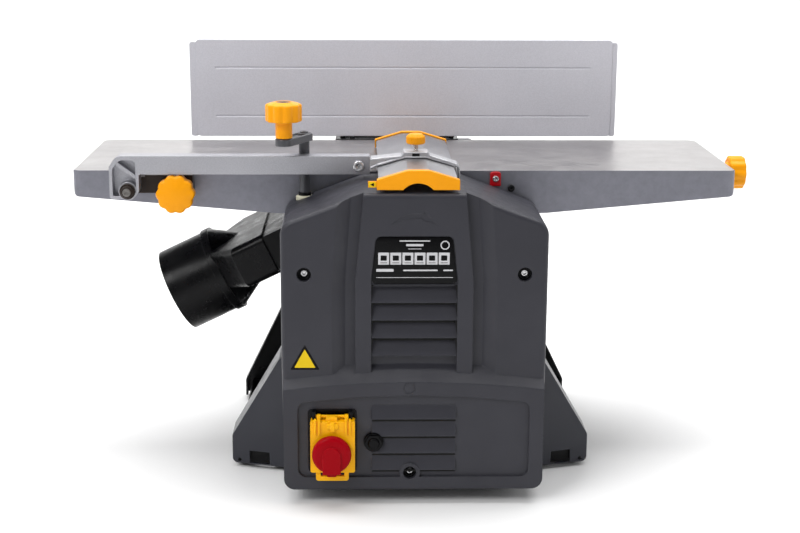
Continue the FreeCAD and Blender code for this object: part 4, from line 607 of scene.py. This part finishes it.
# ---------------------------------------------------------------- hand knobs
def crank_grip():
    """Ten-lobed knob on a tall collar, with a black cap in its top."""
    foot, collar_top, rim, top = 384.4, 402, 420.4, 423
    collar, radius, cap_seat = 9, 19.5, 419.6
    bm = bmesh.new()
    outer = [(collar, foot), (collar, collar_top), (radius, collar_top), (radius, rim), (9.4, top),
             (8.0, 422.6)]
    profile = [(0, foot)] + softened(outer, 2.2, closed=False) + [(8.0, cap_seat), (0, cap_seat)]
    turned(bm, profile, CRANK_PIN, 160, lobed(radius, 10, 1.9))
    piece("crank_grip_body", bm, "up", FINISH["yellow_plastic"], "yellow_plastic", "crank_grip", "crank_knob")
    bm = bmesh.new()
    cap = softened([(7.8, cap_seat), (7.8, 422.6), (0.01, 423.4)], 0.8, closed=False)
    turned(bm, [(0, cap_seat)] + cap, CRANK_PIN, 48)
    piece("crank_grip_cap", bm, "up", FINISH["black_plastic"], "black_plastic", "crank_grip")


def arm_lock():
    """Ten-lobed knob that locks the guard arm, on its threaded stud."""
    axis, radius, foot = (-257.0, 320.3), 21, 125
    bm = bmesh.new()
    turned(bm, grip(radius, 133, 150.8, 9, foot, 2.4), axis, 160, lobed(radius, 10, 2.1))
    piece("arm_lock_grip", bm, "front", FINISH["yellow_plastic"], "yellow_plastic", "arm_lock",
          "arm_lock_knob")
    bm = bmesh.new()
    threaded(bm, axis, 3.9, 112, foot + 0.2, 1.25)
    piece("arm_lock_stud", bm, "front", FINISH["steel"], "steel", "arm_lock")


def depth_adjuster():
    """Ten-lobed knob at the infeed table's end, with the plain rod that it turns."""
    axis, radius, foot = middle("depth_knob", "yz"), 19, 362.8
    bm = bmesh.new()
    turned(bm, grip(radius, 366.5, 386.3, 11, foot, 2.0), axis, 160, lobed(radius, 10, 1.8))
    piece("depth_grip", bm, "right", FINISH["yellow_plastic"], "yellow_plastic", "depth_adjuster",
          "depth_knob")
    rod_start, rod_end, rod_radius = 66, 362.9, 4
    bm = bmesh.new()
    rod = softened([(3.2, rod_start), (rod_radius, 67.5), (rod_radius, rod_end)], 0.4, closed=False)
    turned(bm, [(0, rod_start)] + rod + [(0, rod_end)], axis, 32)
    piece("depth_rod", bm, "right", FINISH["steel"], "steel", "depth_adjuster")


def guard_clamp():
    """Small ribbed knob over the saddle, on its threaded stud."""
    axis, radius, foot = middle("guard_knob", "xy"), 10.4, 373.8
    bm = bmesh.new()
    outer = [(5.4, foot), (9.0, 374.4), (radius, 375.6), (radius, 382.4), (7.0, 385.4)]
    profile = [(0, foot)] + softened(outer, 1.2, closed=False) + [(0, 386.0)]
    turned(bm, profile, axis, 192, lobed(radius, 24, 0.7))
    piece("guard_grip", bm, "up", FINISH["yellow_plastic"], "yellow_plastic", "guard_clamp", "guard_knob")
    bm = bmesh.new()
    threaded(bm, axis, 3.0, 359.9, 374.4, 1.0)
    piece("guard_stud", bm, "up", FINISH["steel"], "steel", "guard_clamp")


# ---------------------------------------------------------------- crank
def crank_casting():
    """Cast arm with a sunk web between its bosses, the screw that holds it and the pin of the grip."""
    shaft, pin = Vector(CRANK_SHAFT), Vector(CRANK_PIN)
    lean = math.atan2(pin.y - shaft.y, pin.x - shaft.x)
    half, steps, under = 9.4, 14, 376.0
    outline = []
    for centre, first in ((shaft, lean + math.pi / 2), (pin, lean - math.pi / 2)):
        for k in range(steps + 1):
            angle = first + math.pi * k / steps
            outline.append(centre + half * Vector((math.cos(angle), math.sin(angle))))
    bm = bmesh.new()
    top = slab(bm, outline, under, CRANK_ARM_TOP, 1.4)
    bmesh.ops.inset_region(bm, faces=[top], thickness=1.6, depth=0)
    bmesh.ops.inset_region(bm, faces=[top], thickness=0.7, depth=-1.6)
    boss = softened([(8.0, 380), (7.6, 384.0), (0.01, 384.0)], 0.6, closed=False)
    for centre in (shaft, pin):
        turned(bm, [(0, 380)] + boss, centre, 48)
    turned(bm, [(0, 383), (4, 383), (4, 417.6), (0, 417.6)], pin, 32)
    piece("crank_casting", bm, "up", FINISH["grey_cast"], "grey_cast", "crank", "crank_arm")
    bm = bmesh.new()
    socket_head(bm, shaft, 4.8, CRANK_ARM_TOP, CRANK_ARM_TOP + 2.0, 2.4)
    piece("crank_screw", bm, "up", FINISH["grey_cast"], "grey_cast", "crank")


def bushing():
    """Cream flange on the cover's shoulder and the dark sleeve that stands in it."""
    seat, flange_top, flange_bore = 306, 315.0, 5.6
    bm = bmesh.new()
    flange = softened([(9.6, seat), (9.6, 314.0), (6.4, flange_top)], 1.2, closed=False)
    wall = [(flange_bore, flange_top), (flange_bore, seat)]
    turned(bm, [(flange_bore, seat)] + flange + wall, CRANK_SHAFT, 64)
    piece("bushing_flange", bm, "up", FINISH["bushing_plastic"], "bushing_plastic", "root", "shaft_bushing")
    foot, head, outer, bore = 313, 318.4, 6.8, 5.7
    bm = bmesh.new()
    sleeve = softened([(outer, foot), (outer, head), (bore, head)], 0.5, closed=False)
    turned(bm, sleeve + [(bore, foot), (outer, foot)], CRANK_SHAFT, 64)
    piece("bushing_sleeve", bm, "up", FINISH["black_plastic"], "black_plastic", "root")


# ---------------------------------------------------------------- infeed side and guard
def pointer():
    """Red depth pointer with its bright screw, and the black stop beside it."""
    middle_x, face = 93.3, 110.7
    half_outline = [(6.4, 323.0), (6.0, 326.0), (6.0, 337.6), (3.1, 339.0)]
    right = [(middle_x + dx, z) for dx, z in half_outline]
    left = [(middle_x - dx, z) for dx, z in half_outline]
    corners = left[:1] + right + left[:0:-1]
    bm = bmesh.new()
    slab(bm, softened(corners, 1.6), INFEED_FRONT + 0.02, face, 0.8)
    piece("pointer_body", bm, "front", FINISH["red_metal"], "red_metal", "infeed", "depth_pointer")
    bm = bmesh.new()
    socket_head(bm, (middle_x, 331.4), 3.4, 110.6, 112.6, 1.5)
    piece("pointer_screw", bm, "front", FINISH["steel"], "steel", "infeed")
    bm = bmesh.new()
    socket_head(bm, (111, 320.5), 3.9, INFEED_FRONT + 0.02, 111.4, 1.6)
    piece("pointer_stop", bm, "front", FINISH["black_steel"], "black_steel", "infeed")


def arm_screws():
    """Dull socket screw on the guard arm's pivot and a bright one at its far end."""
    pivot = (-308.5, 323.5)
    bm = bmesh.new()
    socket_head(bm, pivot, 4.4, 151.2, 152.4, 2.5)
    piece("arm_pivot_face", bm, "front", FINISH["chain_steel"], "steel", "root")
    end = front_spot("guard_arm", 146.4)
    bm = bmesh.new()
    socket_head(bm, end, 6.0, 146.2, 147.9, 3.3)
    piece("arm_end_screw", bm, "front", FINISH["steel"], "steel", "guard_carrier")


def bar(bm, start, end, width, low, high):
    """Adds a straight rib between two points."""
    a, b = Vector(start), Vector(end)
    along = (b - a).normalized()
    side = Vector((-along.y, along.x)) * width / 2
    lap = along * width * 0.35
    slab(bm, [a - lap - side, b + lap - side, b + lap + side, a - lap + side], low, high, width * 0.22)


def saddle_details():
    """Raised rims along the saddle's front and the dark nut that holds its clamp."""
    upper = [(-45, 358.6), (-12, 361.9), (-8.8, 366.0), (15.8, 366.0), (18.4, 362.4), (47.4, 353.3),
             (50.6, 348.6), (50.6, 339.2)]
    lower = [(47.4, 339.2), (47.4, 351.6), (15.5, 361.2), (-8.5, 361.2), (-38.6, 352.6), (-45, 349.6)]
    bm = bmesh.new()
    for route in (upper, lower):
        for start, end in zip(route, route[1:]):
            bar(bm, start, end, 1.7, SADDLE_FRONT, 144.4)
    bar(bm, (-38, 353.6), (-14, 361.0), 1.4, SADDLE_FRONT, 144.0)
    piece("saddle_rims", bm, "front", FINISH["saddle_cast"], "saddle_cast", "guard_carrier")
    bm = bmesh.new()
    slab(bm, softened(block(-0.5, 7.5, 361.0, 365.6), 0.5, steps=3), SADDLE_FRONT, 143.5, 0.2)
    piece("saddle_nut", bm, "front", FINISH["black_steel"], "black_steel", "guard_carrier")


def guard_tag():
    """Small lemon-yellow tag with a plain dark arrowhead at the left end of the guard's front cap."""
    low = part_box("guard_caps")[0].x / MM
    skin = face_of("guard_caps", low + 4, 346)
    bm = bmesh.new()
    slab(bm, softened(block(low + 0.6, low + 8.4, 343.4, 349.1), 0.8, steps=3), skin - 0.2, skin + 0.35, 0.12)
    piece("guard_tag", bm, "front", FINISH["sign_yellow"], "yellow_plastic", "guard")
    bm = bmesh.new()
    slab(bm, [(low + 2.2, 346.2), (low + 6.0, 344.3), (low + 6.0, 348.1)], skin + 0.3, skin + 0.45)
    piece("guard_tag_mark", bm, "front", FINISH["plate_black"], "black_plastic", "guard")


# ---------------------------------------------------------------- stage
def pale_floor():
    """Pale sheet that lies under the machine and sweeps up far behind it."""
    near, bend, radius, height, half = -4.0, 2.2, 1.2, 4.5, 6.0
    profile = [(near, 0.0)]
    for i in range(13):
        angle = math.radians(7.5 * i)
        profile.append((bend + radius * math.sin(angle), radius * (1 - math.cos(angle))))
    profile.append((bend + radius, height))
    mesh = bpy.data.meshes.new("floor_sheet")
    bm = bmesh.new()
    rows = [[bm.verts.new((x, y, z)) for x in (-half, half)] for y, z in profile]
    for low, high in zip(rows, rows[1:]):
        bm.faces.new((low[0], low[1], high[1], high[0])).smooth = True
    bm.to_mesh(mesh)
    bm.free()
    floor = put(bpy.data.objects.new("floor_sheet", mesh))
    s = Shader("paper_floor")
    paper = s.blend(s.span(s.noise(0.8, 2), *CLOUDS), (0.84, 0.84, 0.84, 1), (0.87, 0.87, 0.87, 1))
    s.put(s.principled.inputs["Base Color"], paper)
    s.put(s.principled.inputs["Roughness"], s.span(s.noise(0.3, 2), *CLOUDS, 0.75, 0.85))
    mesh.materials.append(s.material)


def area_light(name, place, aim, size, power):
    """Rectangular light of that size in metres and power in watts, turned to aim."""
    data = bpy.data.lights.new(name, "AREA")
    data.shape = "RECTANGLE"
    data.size, data.size_y = size
    data.energy = power
    light = put(bpy.data.objects.new(name, data))
    light.location = place
    light.rotation_euler = (Vector(aim) - Vector(place)).to_track_quat("-Z", "Y").to_euler()


def studio():
    """Soft light from all sides, strongest from above and from the left of the camera."""
    heart = (0, 0, 0.2)
    area_light("key_light", (-1.8, -2.1, 2.3), heart, (1.5, 1.2), 52)
    area_light("fill_light", (2.2, -1.9, 1.2), heart, (1.4, 1.4), 9)
    area_light("top_light", (0.0, 0.3, 2.6), heart, (3.4, 2.0), 100)
    area_light("left_strip", (-2.2, 0.5, 0.9), heart, (0.5, 1.8), 9)
    area_light("right_strip", (2.2, 0.5, 0.9), heart, (0.5, 1.8), 7)
    area_light("sweep_light", (0.0, 1.5, 2.9), (0, 3.4, 1.4), (3.6, 0.8), 70)
    world = bpy.data.worlds.new("studio_air")
    world.use_nodes = True
    background = world.node_tree.nodes["Background"]
    background.inputs["Color"].default_value = (1, 1, 1, 1)
    background.inputs["Strength"].default_value = 0.27
    bpy.context.scene.world = world


def camera():
    """Camera in front of the machine, slightly left of its middle and looking down on it."""
    yaw, pitch, roll = (math.radians(a) for a in (1.45, 13.94, 0.29))
    place = (-0.0534, -1.7356, 0.6347)
    ahead = Vector((math.sin(yaw) * math.cos(pitch), math.cos(yaw) * math.cos(pitch), -math.sin(pitch)))
    level = Vector((math.cos(yaw), -math.sin(yaw), 0))
    above = level.cross(ahead)
    right = level * math.cos(roll) + above * math.sin(roll)
    up = right.cross(ahead)
    data = bpy.data.cameras.new("view_camera")
    data.sensor_width = 36
    data.lens = 67.07
    eye = put(bpy.data.objects.new("view_camera", data))
    turn = Matrix((right, up, -ahead)).transposed().to_4x4()
    eye.matrix_world = Matrix.Translation(place) @ turn
    bpy.context.scene.camera = eye


paint_cad_nodes()
rating_plate()
caution_sign()
mould_mark()
louvre_shadow_strips()
cover_fasteners()
stop_head()
crank_grip()
arm_lock()
depth_adjuster()
guard_clamp()
crank_casting()
bushing()
flap_ribs()
arm_screws()
pointer()
saddle_details()
guard_tag()
pale_floor()
studio()
camera()
bpy.context.scene.view_settings.view_transform = "Standard"
